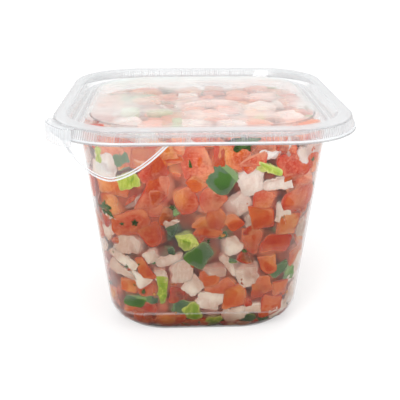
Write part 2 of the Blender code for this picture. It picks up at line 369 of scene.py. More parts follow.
def uneven(paint, place, scale, colour, dull, light, share):
    """Turns some sides of a piece duller and the others lighter."""
    sides = paint.spots(place, scale, 1, 0.42, 0.58, 0.4)
    return paint.mix(sides, paint.tinted(1.0, colour, dull), paint.mix(share, colour, light))


def broken_rim(paint, rim, start, end, place, scale, low, high):
    """The rim of a piece, from one share of the way to it up to another, in spots only."""
    return paint.level(rim, start, end) * paint.spots(place, scale, 1, low, high)


def streaky(paint, place):
    """Fine threads of cut flesh, along one way of the piece."""
    drawn_out = paint.node("ShaderNodeVectorMath", {"operation": "MULTIPLY"}, {0: place, 1: (1.0, 0.3, 1.0)})
    return paint.noise(drawn_out, 700, 4, 0.7)


def cut_sides(paint, colour, pale, deep):
    """Paints light on a second cut that looks up and shade on one that looks down."""
    past = paint.level(paint.attribute("facet"), 0.0, 0.2)
    lift = paint.attribute("lift")
    # The first coat is painted light on the side that looks up, the second painted shade on the side that looks
    # down
    return paint.coated(colour, raised=(past * paint.level(lift, -0.2, 0.8, 0.0, 0.55), pale),
                        lowered=(past * paint.level(lift, 0.2, -0.8, 0.0, 0.5), deep))


def shaded(paint, colour, veil, wet, low_tint=LOW_TINT):
    """Deepens a colour where the piece presses on the wall, and paints shade on it behind the wall, low down
    and at the foot.
    """
    off, height = paint.attribute("off"), paint.attribute("height")
    veiled = paint.mix(paint.level(off, 0.0, 0.3, 0.02, 0.3), colour, veil)
    sunk = paint.tinted(paint.level(off, 0.16, 0.5), veiled, GAP_TINT)
    touching = paint.level(paint.attribute("touch"), 0.04, 0.1) * 0.92
    pressed = paint.mix(touching, sunk, paint.tinted(1.0, colour, wet))
    low = paint.tinted(paint.level(height, *LOW_FADE, 1.0, 0.0), pressed, low_tint)
    return paint.tinted(paint.level(height, *FOOT_FADE, 0.95, 0.0), low, FOOT_TINT)


def tomato_paint():
    """Red to orange flesh with blotches and a fine grain, its skin on some of its rims."""
    paint, place, tone, rim = cut_paint("tomato_flesh")
    ripeness = tone + paint.level(paint.noise(place, 90, 2), 0.36, 0.64, -0.13, 0.13)
    base = paint.ramp(
        ripeness, maroon=(0.0, hue(104, 44, 46)), deep=(0.12, hue(200, 56, 40)), red=(0.3, hue(216, 78, 54)),
        salmon=(0.46, hue(230, 112, 88)), orange=(0.62, hue(218, 102, 42)), gold=(0.8, hue(242, 150, 54)),
        pale=(1.0, hue(240, 176, 122)))
    grain = paint.noise(place, 1100, 3, 0.7)
    flesh = paint.coated(
        uneven(paint, place, 75, base, hue(234, 190, 170), hue(250, 206, 158), 0.25),
        streaks=(paint.level(streaky(paint, place), 0.46, 0.66) * 0.3, hue(246, 170, 140)),
        blotches=(paint.spots(place, 130, 2, 0.5, 0.66) * 0.34, hue(212, 62, 38)),
        light_grain=(paint.level(grain, 0.5, 0.66) * 0.35, hue(252, 190, 148)),
        dark_grain=(paint.level(grain, 0.5, 0.36) * 0.3, hue(176, 52, 34)),
        misty_rim=(paint.level(rim, 0.5, 1.0) * 0.3, hue(226, 134, 112)),
        # A painted highlight in spots along the rim
        pale_rim=(broken_rim(paint, rim, 0.68, 0.94, place, 95, 0.54, 0.44) * 0.45, hue(248, 176, 136)),
        skin=(broken_rim(paint, rim, 0.8, 0.97, place, 60, 0.46, 0.54) * 0.7, hue(204, 52, 34)))
    sided = cut_sides(paint, flesh, hue(246, 178, 146), hue(190, 64, 48))
    colour = shaded(paint, sided, hue(200, 108, 90), hue(244, 188, 110))
    return wet_look(paint, colour, paint.noise(place, 230, 3, 0.55), 0.5 * MM, flesh=0.3)


def onion_paint():
    """Pale flesh with fine fibres, a painted highlight in spots along its torn edges, and a little stained by
    the tomato.
    """
    paint, place, tone, rim = cut_paint("onion_flesh")
    base = paint.ramp(
        tone, stained=(0.0, hue(200, 142, 128)), pink=(0.2, hue(206, 168, 156)), dull=(0.5, hue(224, 201, 189)),
        pale=(0.8, hue(243, 235, 229)), white=(1.0, hue(250, 246, 244)))
    threads = streaky(paint, place)
    speckle = paint.noise(place, 1300, 2, 0.7)
    flesh = paint.coated(
        uneven(paint, place, 80, base, hue(228, 210, 206), hue(252, 248, 244), 0.3),
        pale_threads=(paint.level(threads, 0.5, 0.68) * 0.35, hue(252, 248, 244)),
        dark_threads=(paint.level(threads, 0.48, 0.34) * 0.22, hue(196, 160, 150)),
        misty_rim=(paint.level(rim, 0.55, 1.0) * 0.4, hue(204, 164, 152)),
        # A painted highlight in spots along the torn rim
        torn_rim=(broken_rim(paint, rim, 0.88, 0.96, place, 120, 0.5, 0.62) * 0.6, hue(252, 246, 240)),
        juice=(paint.spots(place, 130, 3, 0.56, 0.7) * 0.25, hue(216, 150, 132)),
        light_specks=(paint.level(speckle, 0.5, 0.66) * 0.16, hue(255, 252, 248)),
        dark_specks=(paint.level(speckle, 0.5, 0.36) * 0.1, hue(176, 140, 130)))
    sided = cut_sides(paint, flesh, hue(252, 246, 240), hue(178, 146, 138))
    colour = shaded(paint, sided, hue(200, 156, 142), hue(252, 250, 246), hue(208, 198, 184))
    return wet_look(paint, colour, threads, 0.12 * MM, flesh=0.3, mist=hue(246, 238, 228))


def pepper_paint():
    """Dark skin on one side, paler flesh on the other, and a painted highlight in spots along its cut rim."""
    paint, place, tone, rim = cut_paint("green_pepper")
    skin = paint.ramp(tone, dark=(0.0, hue(58, 80, 62)), green=(0.5, hue(86, 112, 78)),
                      pale=(1.0, hue(150, 174, 112)))
    inside = paint.mix(0.35, skin, hue(150, 182, 136))
    flesh = paint.coated(
        skin,
        inner_side=(paint.spots(place, 80, 1, 0.42, 0.58, 0.4) * 0.6, inside),
        misty_rim=(paint.level(rim, 0.5, 1.0) * 0.45, hue(128, 136, 106)),
        # A painted highlight in spots along the cut rim
        cut_rim=(broken_rim(paint, rim, 0.9, 0.98, place, 90, 0.42, 0.55) * 0.6, hue(160, 186, 112)),
        patches=(paint.spots(place, 220, 3, 0.48, 0.66) * 0.3, hue(88, 140, 66)))
    sided = cut_sides(paint, flesh, hue(160, 190, 122), hue(44, 76, 48))
    colour = shaded(paint, sided, hue(122, 140, 124), hue(190, 240, 100), hue(202, 198, 178))
    return wet_look(paint, colour, streaky(paint, place), 0.2 * MM, roughness=0.25, flesh=0.1,
                    mist=hue(216, 232, 180))


def pith_paint():
    """Yellow-green ribs, stems and strips."""
    paint, place, tone, rim = cut_paint("pale_green_rib")
    base = paint.ramp(tone, dark=(0.0, hue(112, 136, 58)), green=(0.5, hue(148, 160, 66)),
                      pale=(1.0, hue(198, 196, 104)))
    threads = streaky(paint, place)
    flesh = paint.coated(base, dark_threads=(paint.level(threads, 0.5, 0.36) * 0.7, hue(104, 146, 46)),
                         pale_threads=(paint.level(threads, 0.52, 0.66) * 0.7, hue(226, 228, 158)),
                         misty_rim=(paint.level(rim, 0.6, 1.0) * 0.45, hue(206, 200, 150)))
    sided = cut_sides(paint, flesh, hue(206, 218, 130), hue(96, 128, 44))
    colour = shaded(paint, sided, hue(190, 176, 136), hue(236, 250, 200), hue(226, 218, 180))
    return wet_look(paint, colour, threads, 0.1 * MM, mist=hue(220, 224, 160))


def leaf_paint():
    paint = Paint("cilantro_leaf")
    base = paint.ramp(paint.attribute("tone"), dark=(0.0, hue(36, 62, 28)), green=(1.0, hue(84, 118, 50)))
    veins = paint.spots(paint.attribute("place", "Vector"), 500, 3, 0.45, 0.65)
    lined = paint.mix(veins * 0.4, base, hue(116, 146, 82))
    colour = shaded(paint, lined, hue(120, 130, 104), hue(235, 245, 200))
    return wet_look(paint, colour, veins, 0.05 * MM, roughness=0.4)


def seed_paint():
    paint = Paint("tomato_seed")
    mottle = paint.noise(paint.attribute("place", "Vector"), 500, 2)
    husk = paint.mix(mottle, hue(214, 150, 84), hue(228, 184, 120))
    return wet_look(paint, shaded(paint, husk, hue(214, 170, 130), hue(250, 230, 190)), flesh=0.1)


def core_paint():
    """The painted shade of the depth between the pieces, which fades towards the top of the heap, where light
    comes in from above.
    """
    paint = Paint("shaded_juice")
    place = paint.solid_place()
    clouds = paint.noise(place, 130, 3)
    colour = paint.ramp(clouds, dark=(0.36, hue(50, 54, 50)), maroon=(0.44, hue(100, 42, 44)),
                        brown=(0.54, hue(146, 60, 50)), red=(0.66, hue(194, 92, 68)))
    on_top = paint.level(paint.part_of(place, "Z"), *PULP_TOP, 0.0, 0.85)
    return wet_look(paint, paint.mix(on_top, colour, hue(212, 124, 102)), clouds, 0.4 * MM, flesh=0.3)


def juice_paint():
    """The cloudy juice that lies between the pieces and the wall, darker towards the base."""
    paint = Paint("cloudy_juice")
    place = paint.solid_place()
    height = paint.part_of(place, "Z")
    clouds = paint.noise(place, 60, 2)
    colour = paint.ramp(clouds, green=(0.36, hue(104, 106, 94)), red=(0.44, hue(188, 84, 66)),
                        salmon=(0.52, hue(204, 102, 76)), pink=(0.62, hue(222, 168, 150)))
    settled = paint.mix(paint.level(height, *JUICE_SETTLES, 1.0, 0.0), colour, hue(74, 40, 26))
    # The thick juice has the same painted glow of its own colour
    thick = paint.shader("BsdfPrincipled", Base_Color=settled, Roughness=0.4, Specular_IOR_Level=0.1,
                         Emission_Color=settled, Emission_Strength=LIGHT_THROUGH)
    patches = paint.level(paint.noise(place, 110, 3), 0.38, 0.62, *JUICE_SHARES)
    deep = paint.level(height, *JUICE_DEEPENS, 0.6, 0.0)
    share = (patches + deep) * paint.level(height, *JUICE_ENDS, 1.0, 0.0)
    blurred = paint.shader("BsdfRefraction", Color=WHITE, Roughness=0.5, IOR=1.2)
    thin = paint.blended(FILM_BLUR, paint.shader("BsdfTransparent"), blurred)
    return paint.done(paint.blended(share, thin, thick))


# Rounded-square shells


def rounded_square(half, radius, height, steps):
    """Points round a square with rounded corners, counter-clockwise, at one height."""
    angles = np.concatenate([np.pi / 2 * (quarter + np.linspace(0, 1, steps + 1)) for quarter in range(4)])
    middles = np.repeat(np.pi / 4 + np.pi / 2 * np.arange(4), steps + 1)
    reach = (half - radius) * math.sqrt(2)
    x = reach * np.cos(middles) + radius * np.cos(angles)
    y = reach * np.sin(middles) + radius * np.sin(angles)
    return np.stack([x, y, np.full(len(x), height)], 1)


def softened(section):
    """The stations of a section with each bend turned into a short curve."""
    rows = [np.array(station[:3]) for station in section]
    out = [rows[0]]
    for before, here, after, station in zip(rows[:-2], rows[1:-1], rows[2:], section[1:-1]):
        fillet = station[3]
        towards = (before - here) / math.hypot(before[0] - here[0], before[2] - here[2])
        onwards = (after - here) / math.hypot(after[0] - here[0], after[2] - here[2])
        start = here + towards * fillet
        end = here + onwards * fillet
        for t in np.linspace(0, 1, FILLET_POINTS):
            out.append((1 - t) ** 2 * start + 2 * t * (1 - t) * here + t ** 2 * end)
    out.append(rows[-1])
    return out


def mesh_piece(name, points, faces, *materials):
    """A smooth mesh object from points and faces."""
    mesh = bpy.data.meshes.new(name)
    mesh.from_pydata(np.asarray(points).tolist(), [], faces)
    mesh.update()
    mesh.shade_smooth()
    for material in materials:
        mesh.materials.append(material)
    made = bpy.data.objects.new(name, mesh)
    bpy.context.scene.collection.objects.link(made)
    return made


def keep_on_points(piece, name, values):
    """Keeps a value on each point of a piece, for its paint."""
    layer = piece.data.attributes.new(name, "FLOAT", "POINT")
    layer.data.foreach_set("value", np.asarray(values, np.float32).ravel())


def loft(name, rings, *materials, cap_first=False, cap_last=False, closed=True):
    """Surface through rings of equal point counts."""
    count = len(rings[0])
    faces = []
    for row in range(len(rings) - 1):
        for i in range(count if closed else count - 1):
            j = (i + 1) % count
            faces.append((row * count + i, row * count + j, (row + 1) * count + j, (row + 1) * count + i))
    if cap_first:
        faces.append(tuple(range(count - 1, -1, -1)))
    if cap_last:
        faces.append(tuple((len(rings) - 1) * count + i for i in range(count)))
    return mesh_piece(name, np.vstack(rings), faces, *materials)


def thicken(piece, thickness):
    """Gives an open surface its wall, laid inward of the faces."""
    modifier = piece.modifiers.new("wall", "SOLIDIFY")
    modifier.thickness = thickness
    modifier.offset = -1
    modifier.use_even_offset = True


# The tub's plastics, and the heights that part them
WALL, BEND, FOOT, BASE = range(4)
BEND_HEIGHT = TUB_SECTION[2][2]
BEND_LINE = 0.35 * MM
BASE_EDGE = 0.9 * MM


def tub_finish(height):
    """Which of the tub's plastics a face is made of: a painted highlight line at the bend, and dark brown at
    the base's edge.
    """
    if height < BASE_EDGE:
        return BASE
    if abs(height - BEND_HEIGHT) < BEND_LINE:
        return BEND
    return FOOT if height < BEND_HEIGHT else WALL


def make_tub(plastics):
    rings = [rounded_square(*row, SHELL_STEPS) for row in softened(TUB_SECTION)]
    tub = loft("tub_shell", rings, *plastics, cap_first=True)
    for face in tub.data.polygons:
        face.material_index = tub_finish(face.center.z)
    thicken(tub, TUB_SHEET)
    return tub


# The lid's plastics, and the lines that part them
RING, CROWN, BENT, FOGGED, FOGGED_BEND, CORNER, CREASE = range(7)
CORNER_FROM = 80.5 * MM
CREASE_FROM = 72 * MM
CROWN_INNER_HALF = LID_SECTION[2][0] - 0.3 * MM
GROOVE_INNER_HALF = LID_SECTION[4][0] - 0.6 * MM


def lid_finish(row, rows, centre):
    """Which of the lid's plastics a face is made of: the panel is fogged, but for its two front corners."""
    in_bend = 0 < row < len(rows) - 2 and (row - 1) % FILLET_POINTS < FILLET_POINTS - 1
    if row >= len(rows) - 1 or rows[row][0] < GROOVE_INNER_HALF:
        towards_corner = abs(centre.x) - centre.y
        if in_bend and row > len(rows) - 2 - FILLET_POINTS and towards_corner > CREASE_FROM:
            return CREASE
        if towards_corner > CORNER_FROM:
            return CORNER
        return FOGGED_BEND if in_bend else FOGGED
    if rows[row][0] > CROWN_INNER_HALF:
        return CROWN if row else BENT
    return BENT if in_bend else RING


def make_lid(plastics):
    """The lid's rounded crown, groove and raised panel; the panel is fogged from inside."""
    rows = softened(LID_SECTION)
    rings = [rounded_square(*row, SHELL_STEPS) for row in rows]
    lid = loft("lid_top", rings, *plastics, cap_last=True)
    for number, face in enumerate(lid.data.polygons):
        face.material_index = lid_finish(number // len(rings[0]), rows, face.center)
    thicken(lid, LID_SHEET)
    return lid


def dense_square(half, radius, height, count):
    """Evenly spaced points round a rounded square, from the middle of the front edge to the right."""
    straight = half - radius
    side = 2 * straight
    arc = math.pi / 2 * radius
    distance = np.linspace(0, 4 * (side + arc), count, endpoint=False) + straight
    quarter = np.floor(distance / (side + arc)).astype(int)
    rest = distance - quarter * (side + arc)
    angle = np.clip((rest - side) / radius, 0, None)
    along = np.minimum(rest, side) - straight
    x = along + radius * np.sin(angle)
    y = -straight - radius * np.cos(angle)
    turn = quarter * math.pi / 2
    outward = angle + turn - math.pi / 2
    points = np.stack([x * np.cos(turn) - y * np.sin(turn), x * np.sin(turn) + y * np.cos(turn),
                       np.full(count, height)], 1)
    return points, np.stack([np.cos(outward), np.sin(outward), np.zeros(count)], 1)


RIBS = 440
RIB_POINTS = 5
RIB_RELIEF = 0.14 * MM
RIB_SEED = 5
# Strength of the painted sheen on each rib, its share on the crests, and how much the corners add
RIB_STRENGTHS = (0.1, 1)
RIB_SHARE = 0.9
RIBS_BLEND = 0.85
FADE_LOW = 1.2 * MM
FADE_HIGH = 0.6 * MM


def make_skirt(plastic):
    """The lid's skirt, with its fine upright ribs; their crests carry a painted sheen, stronger at the corners,
    where it spreads over the whole band.
    """
    rings, standing = [], []
    halves, radii, heights, _ = zip(*SKIRT_SECTION)
    low, high = heights[0], heights[-1]
    wave = 0.5 - 0.5 * np.cos(np.arange(RIBS * RIB_POINTS) / RIB_POINTS * math.tau)
    strength = np.repeat(np.random.default_rng(RIB_SEED).uniform(*RIB_STRENGTHS, RIBS), RIB_POINTS)
    for height in np.linspace(low, high, SKIRT_ROWS):
        half, radius = np.interp(height, heights, halves), np.interp(height, heights, radii)
        points, outward = dense_square(half, radius, height, RIBS * RIB_POINTS)
        fade = np.clip((height - low) / FADE_LOW, 0, 1) * np.clip((high - height) / FADE_HIGH, 0, 1)
        rings.append(points - outward * (RIB_RELIEF * fade * wave)[:, None])
        at_corner = 4 * (outward[:, 0] * outward[:, 1]) ** 2
        standing.append(fade * (1 - wave) * strength * (RIB_SHARE + at_corner) + fade * at_corner * RIBS_BLEND)
    skirt = loft("lid_skirt", rings, plastic)
    keep_on_points(skirt, "rib", standing)
    thicken(skirt, LID_SHEET)
    return skirt


LIP_HEIGHT = PACK_HEIGHT - 5.5 * MM
BAR_SIDES = 8

# Radius, inset and height over the lip of the bright roll, painted white as a highlight, and of the grey edge
# below it, painted grey as a shadow line
LIP_LINES = {"lip_bead": (0.42 * MM, 0.1 * MM, 0.72 * MM), "lip_edge": (0.3 * MM, 0.0, 0.1 * MM)}


def make_lip_bead(name, plastic):
    """Rolled edge along the foot of the skirt."""
    radius, inset, raised = LIP_LINES[name]
    rings = []
    for angle in np.linspace(0, math.tau, BAR_SIDES, endpoint=False):
        outset = radius * math.cos(angle) - radius - inset
        height = LIP_HEIGHT + raised + radius * math.sin(angle)
        rings.append(rounded_square(LID_HALF + outset, SKIRT_SECTION[0][1] + outset, height, SHELL_STEPS))
    rings.append(rings[0])
    return loft(name, rings[::-1], plastic)


# Pull tab and grip

TAB_MIDDLE = 36.5 * MM
TAB_HALF_WIDTH = 22.5 * MM
TAB_DROP = 14.2 * MM
TAB_CURVE = 1.7
TAB_LEAN = 0.05
TAB_INSET = 0.3 * MM
TAB_TUCK = 0.6 * MM
TAB_SHEET = 0.5 * MM
TAB_COLUMNS = 120
TAB_ROWS = 10
TOOTH_PITCH = 1.1 * MM
TOOTH_DEPTH = 0.22 * MM
TOOTHED_FROM = 0.72 * TAB_DROP

# Share of the tab's half width, height and radius of each of the two lines along its edge; both are painted
# white as highlights
TAB_LINES = {"pull_tab_bead": (1.0, 0.25 * MM, 0.34 * MM), "pull_tab_inner_bead": (0.955, 1.45 * MM, 0.24 * MM)}
TAB_LINE_INSET = 0.55 * MM


def along_lip(distance):
    """Point and outward direction on the lip, at a distance left of the middle of the front edge."""
    radius = SKIRT_SECTION[0][1]
    straight = LID_HALF - radius
    if distance <= straight:
        return np.array([-distance, -LID_HALF, 0]), np.array([0.0, -1.0, 0.0])
    angle = (distance - straight) / radius
    outward = np.array([-math.sin(angle), -math.cos(angle), 0])
    return np.array([-straight, -straight, 0]) + radius * outward, outward


def ripple(distance, pitch):
    """1 at the start of each pitch and 0 halfway along it."""
    return 0.5 + 0.5 * math.cos(distance / pitch * math.tau)


def along_tab(share):
    """Distances along the lip, from one end of the tab to the other."""
    return TAB_MIDDLE + TAB_HALF_WIDTH * share * (2 * np.arange(TAB_COLUMNS + 1) / TAB_COLUMNS - 1)


def tab_drop(distance):
    across = min(abs(distance - TAB_MIDDLE) / TAB_HALF_WIDTH, 1)
    return TAB_DROP * (1 - across ** TAB_CURVE)


def toothed(drop, distance):
    """The drop of the tab's edge with its teeth, which only the lowest part has."""
    return drop - TOOTH_DEPTH * ripple(distance, TOOTH_PITCH) if drop > TOOTHED_FROM else drop


def make_pull_tab(plastic):
    """Thin flap under the lip, with a toothed lower edge."""
    rings = []
    for distance in along_tab(1.0):
        point, outward = along_lip(distance)
        drop = toothed(max(tab_drop(distance), 0.3 * MM), distance)
        depths = drop * np.linspace(0, 1, TAB_ROWS + 1) - TAB_TUCK * np.linspace(1, 0, TAB_ROWS + 1)
        lean = TAB_LEAN * np.maximum(depths, 0) + TAB_INSET
        rings.append(point + np.outer(-lean, outward) + np.outer(LIP_HEIGHT - depths, (0, 0, 1)))
    tab = loft("pull_tab", rings, plastic, closed=False)
    thicken(tab, -TAB_SHEET)
    return tab


def bar(name, path, radius, material):
    """Round bar along a path, with closed ends."""
    angles = np.linspace(0, math.tau, BAR_SIDES, endpoint=False)
    rings = []
    for i, point in enumerate(path):
        ahead = path[min(i + 1, len(path) - 1)] - path[max(i - 1, 0)]
        ahead /= np.linalg.norm(ahead)
        side = np.cross(ahead, (0, 0, 1))
        side /= np.linalg.norm(side)
        rise = np.cross(side, ahead)
        rings.append(point + radius * (np.outer(np.cos(angles), side) + np.outer(np.sin(angles), rise)))
    return loft(name, rings, material, cap_first=True, cap_last=True)


def make_tab_bead(name, plastic):
    """Thickened edge that runs round the pull tab, or the step just inside it."""
    share, raised, radius = TAB_LINES[name]
    path = []
    for distance in along_tab(share):
        point, outward = along_lip(distance)
        drop = max(tab_drop(distance) - raised, 0)
        if share == 1.0:
            drop = toothed(drop, distance)
        path.append(point - outward * (TAB_LEAN * drop + TAB_LINE_INSET) + np.array([0, 0, LIP_HEIGHT - drop]))
    return bar(name, path, radius, plastic)


GRIP_START = 51 * MM
GRIP_END = 71 * MM
GRIP_STEPS = 90
GRIP_PROUD = 2.8 * MM
GRIP_FLUSH = 0.35
GRIP_EASE = 4 * MM
GRIP_MARGIN = 0.1 * MM
GRIP_RIB_PITCH = 1.25 * MM
GRIP_RIB_DEPTH = 0.12 * MM
GRIP_WAVE_PITCH = 2.4 * MM
GRIP_WAVE = 0.2 * MM


def make_grip(plastic, bent):
    """Ledge that stands proud of the skirt round the left front corner, for a thumb to push against."""
    rings, standing = [], []
    for distance in GRIP_START + (GRIP_END - GRIP_START) * np.arange(GRIP_STEPS + 1) / GRIP_STEPS:
        point, outward = along_lip(distance)
        nearest = min(distance - GRIP_START, GRIP_END - distance)
        proud = GRIP_PROUD * min(1, GRIP_FLUSH + nearest / GRIP_EASE)
        rib = ripple(distance, GRIP_RIB_PITCH)
        groove = GRIP_RIB_DEPTH * (1 - rib)
        top = PACK_HEIGHT - 0.5 * MM
        low = LIP_HEIGHT - 1.8 * MM + GRIP_WAVE * math.sin(distance / GRIP_WAVE_PITCH * math.tau)
        outset = np.array([-1.6 * MM, proud - 0.9 * MM, proud - 0.5 * MM - groove, proud - groove, proud])
        height = np.array([top, top, top - 0.3 * MM, low + 0.8 * MM, low])
        ring = point + np.outer(outset, outward) + np.outer(height, (0, 0, 1))
        ring[:, 0] = np.maximum(ring[:, 0], GRIP_MARGIN - LID_HALF)
        rings.append(ring)
        # Each rib of the grip carries a painted sheen on its crest
        standing.append(np.full(len(outset), rib))
    grip = loft("corner_grip", rings, plastic, bent, closed=False)
    for number, face in enumerate(grip.data.polygons):
        face.material_index = number % (len(rings[0]) - 1) == 1
    keep_on_points(grip, "rib", standing)
    thicken(grip, -LID_SHEET)
    return grip


# The room inside the tub

ROOM_HEIGHTS = np.array([TUB_SHEET, 3.6 * MM, 9.1 * MM, 89.8 * MM])
ROOM_HALVES = np.array([39.4, 40.7, 41.9, 49.4]) * MM
ROOM_RADII = np.array([22.8, 18.3, 15.2, 17.9]) * MM
MIDDLE_HEIGHT = 45 * MM


def room_at(height):
    """Half width and corner radius of the tub's inner wall at a height."""
    return np.interp(height, ROOM_HEIGHTS, ROOM_HALVES), np.interp(height, ROOM_HEIGHTS, ROOM_RADII)


def wall_distance(points):
    """Distance outside the inner wall, level by level, and the level direction straight out."""
    half, radius = room_at(points[:, 2])
    straight = half - radius
    qx = np.abs(points[:, 0]) - straight
    qy = np.abs(points[:, 1]) - straight
    corner = (qx > 0) & (qy > 0)
    length = np.maximum(np.hypot(qx, qy), 1e-9)
    distance = np.where(corner, length - radius, np.maximum(qx, qy) - radius)
    ox = np.where(corner, qx / length, (qx > qy) * 1.0) * np.sign(points[:, 0])
    oy = np.where(corner, qy / length, (qx <= qy) * 1.0) * np.sign(points[:, 1])
    return distance, np.stack([ox, oy, np.zeros(len(points))], 1)


SOFT_TOP = 3 * MM
BACK_FALL = 3.6 * MM
LEFT_BACK_FALL = 3.0 * MM


def ceiling_over(points):
    """How high the heap may reach: up to the panel in front, and lower towards the back and its left corner."""
    back = np.clip(0.5 + points[:, 1] / (2 * ROOM_HALVES[-1]), 0, 1)
    left = np.clip(-0.2 - points[:, 0] / ROOM_HALVES[-1], 0, 1)
    return CEILING - back * BACK_FALL - back ** 2 * left * LEFT_BACK_FALL


def press(points, reach):
    """Holds points inside the tub; gives how far each presses on the wall, in mm, and how far off it stays."""
    distance, outward = wall_distance(points)
    beyond = np.maximum(distance, TUB_SHEET - points[:, 2])
    hard = np.clip((beyond - PRESS_START) / MM, -0.5, 0.5)
    off = np.clip(-np.maximum(beyond, points[:, 2] - OPEN_TOP) / OFF_DEPTH, 0, 1)
    points = points - outward * np.maximum(distance - reach, 0)[:, None]
    yielding = ceiling_over(points) - SOFT_TOP
    above = np.maximum(points[:, 2] - yielding, 0)
    points[:, 2] = np.minimum(points[:, 2], yielding) + SOFT_TOP * (1 - np.exp(-above / SOFT_TOP))
    points[:, 2] = np.maximum(points[:, 2], TUB_SHEET - reach)
    return points, hard, off


# Measures round the wall at its middle height
MID_HALF, MID_RADIUS = room_at(MIDDLE_HEIGHT)
MID_STRAIGHT = MID_HALF - MID_RADIUS
MID_ARC = math.pi / 2 * MID_RADIUS
QUARTER_ROUND = 2 * MID_STRAIGHT + MID_ARC
ROUND = 4 * QUARTER_ROUND


def wall_frame(around, height):
    """Point on the inner wall with its across, up and outward directions; around starts at the front middle."""
    half, radius = room_at(height)
    straight = half - radius
    quarter, rest = divmod(around + MID_STRAIGHT, QUARTER_ROUND)
    angle = max(rest - 2 * MID_STRAIGHT, 0) / MID_ARC * math.pi / 2
    along = min(rest / (2 * MID_STRAIGHT), 1) * 2 * straight - straight
    turn = Matrix.Rotation(quarter * math.pi / 2, 3, "Z")
    outward = turn @ Vector((math.sin(angle), -math.cos(angle), 0))
    point = turn @ Vector((along + radius * math.sin(angle), -straight - radius * math.cos(angle), 0))
    step = 1 * MM
    slope = (room_at(height + step)[0] - room_at(height - step)[0]) / (2 * step)
    up = (outward * slope + Vector((0, 0, 1))).normalized()
    across = Vector((0, 0, 1)).cross(outward).normalized()
    point.z = height
    return np.array(point), np.array(across), np.array(up), np.array(across.cross(up))


def around_of(x, y):
    """Distance round the wall, at its middle height, of a point on it."""
    quarter = 0
    while not (y < 0 and abs(x) <= abs(y) + 1e-9) and quarter < 4:
        x, y = y, -x
        quarter += 1
    angle = math.asin(min(max(abs(x) - MID_STRAIGHT, 0) / MID_RADIUS, 1))
    return quarter * QUARTER_ROUND + math.copysign(min(abs(x), MID_STRAIGHT) + MID_RADIUS * angle, x)


SIGHT_RANGE = (CAMERA_DISTANCE - 80 * MM, CAMERA_DISTANCE + 20 * MM)
SIGHT_STEPS = 400


def seen_on_wall(x, y):
    """Place on the front of the inner wall that a pixel of the photograph's frame looks at."""
    start, aim = sight_line(x, y)
    points = np.array(start) + np.outer(np.linspace(*SIGHT_RANGE, SIGHT_STEPS), np.array(aim))
    distance, _ = wall_distance(points)
    inside = np.nonzero(distance <= 0)[0]
    first = points[inside[0]] if len(inside) else points[np.argmin(distance)]
    return around_of(first[0], first[1]), first[2]


# Cut pieces

# Each ring of a piece as its share of the way to the rim and its height share from back to front
FINE_RINGS = ((0.30, 1.0), (0.55, 1.0), (0.74, 1.0), (0.87, 1.0), (0.945, 1.0), (0.985, 1.0), (1.0, 0.93),
              (0.99, 0.3), (0.93, 0.04), (0.5, 0.0))
PLAIN_RINGS = ((0.45, 1.0), (0.80, 1.0), (0.95, 1.0), (1.0, 0.9), (0.95, 0.1), (0.5, 0.0))
BIT_RINGS = ((0.6, 1.0), (1.0, 0.7), (0.6, 0.0))
DETAILS = {"fine": (44, FINE_RINGS), "plain": (22, PLAIN_RINGS), "bit": (10, BIT_RINGS)}

# Depth, rise of the domed face, sharpness of the corners, waviness and bow of each kind
KINDS = {
    "tomato": (9.0 * MM, 0.6 * MM, 12, 0.15 * MM, 12),
    "onion": (4.5 * MM, 0.4 * MM, 14, 0.16 * MM, 18),
    "pepper": (4.0 * MM, 0.6 * MM, 7, 0.22 * MM, 14),
    "rib": (3.0 * MM, 0.4 * MM, 10, 0.25 * MM, 14),
    "leaf": (0.5 * MM, 0.1 * MM, 4, 0.35 * MM, 0),
    "seed": (1.0 * MM, 0.3 * MM, 4, 0.0, 0),
}

# How ragged the outline of a fine piece is, how often a kind has a second cut, and how steep and long that is
RAGGED = {"tomato": 0.12 * MM, "onion": 0.27 * MM, "pepper": 0.12 * MM, "rib": 0.25 * MM}
RAGGED_SHARE = 0.6
FOLDED = {"tomato": 0.7, "onion": 0.35, "pepper": 0.6, "rib": 0.6, "leaf": 0.0, "seed": 0.0}
FOLD_SLOPES = (0.2, 0.6)
FOLD_LENGTH = 4.5 * MM

# Half size from which a piece keeps the vegetable's own round outline, and how sharp its corners are then
BIG_PIECE = 6.6 * MM
BIG_SHARPNESS = 4.5
CORNER_CUTS = 0.6

# Lengths of the waves that break up a face, and how far the painted light under the lid reaches
CRUMPLE_LENGTHS = (3.0 * MM, 6.5 * MM)
LIT_DEPTH_ON_WALL = 1.6 * MM
LIT_DEPTH_ON_TOP = 4.5 * MM
LIT_BLUR = 2.5 * MM
LIT_CLEAR = 0.6 * MM


def cut_outline(angles, half_width, half_height, turn, kind, draw):
    """Outline of a piece left by four or five straight cuts, in no quite square order."""
    big = math.sqrt(half_width * half_height) > BIG_PIECE
    sides = []
    for quarter in range(4):
        reach = (half_height if quarter % 2 else half_width) * draw.uniform(0.86, 1.1)
        sides.append((turn + quarter * math.pi / 2 + draw.uniform(-0.24, 0.24), reach))
    if draw.random() < CORNER_CUTS and not big:
        corner = turn + math.atan2(half_height, half_width) * draw.choice([-1, 1]) + math.pi * draw.integers(2)
        sides.append((corner, math.hypot(half_width, half_height) * draw.uniform(0.66, 0.9)))
    sharpness = BIG_SHARPNESS if big else KINDS[kind][2]
    total = sum(np.maximum(np.cos(angles - side), 0) ** sharpness / reach ** sharpness for side, reach in sides)
    ragged = draw.normal(0, RAGGED[kind], len(angles)) * (len(angles) == DETAILS["fine"][0])
    return total ** (-1 / sharpness) + RAGGED_SHARE * (ragged + np.roll(ragged, 1))


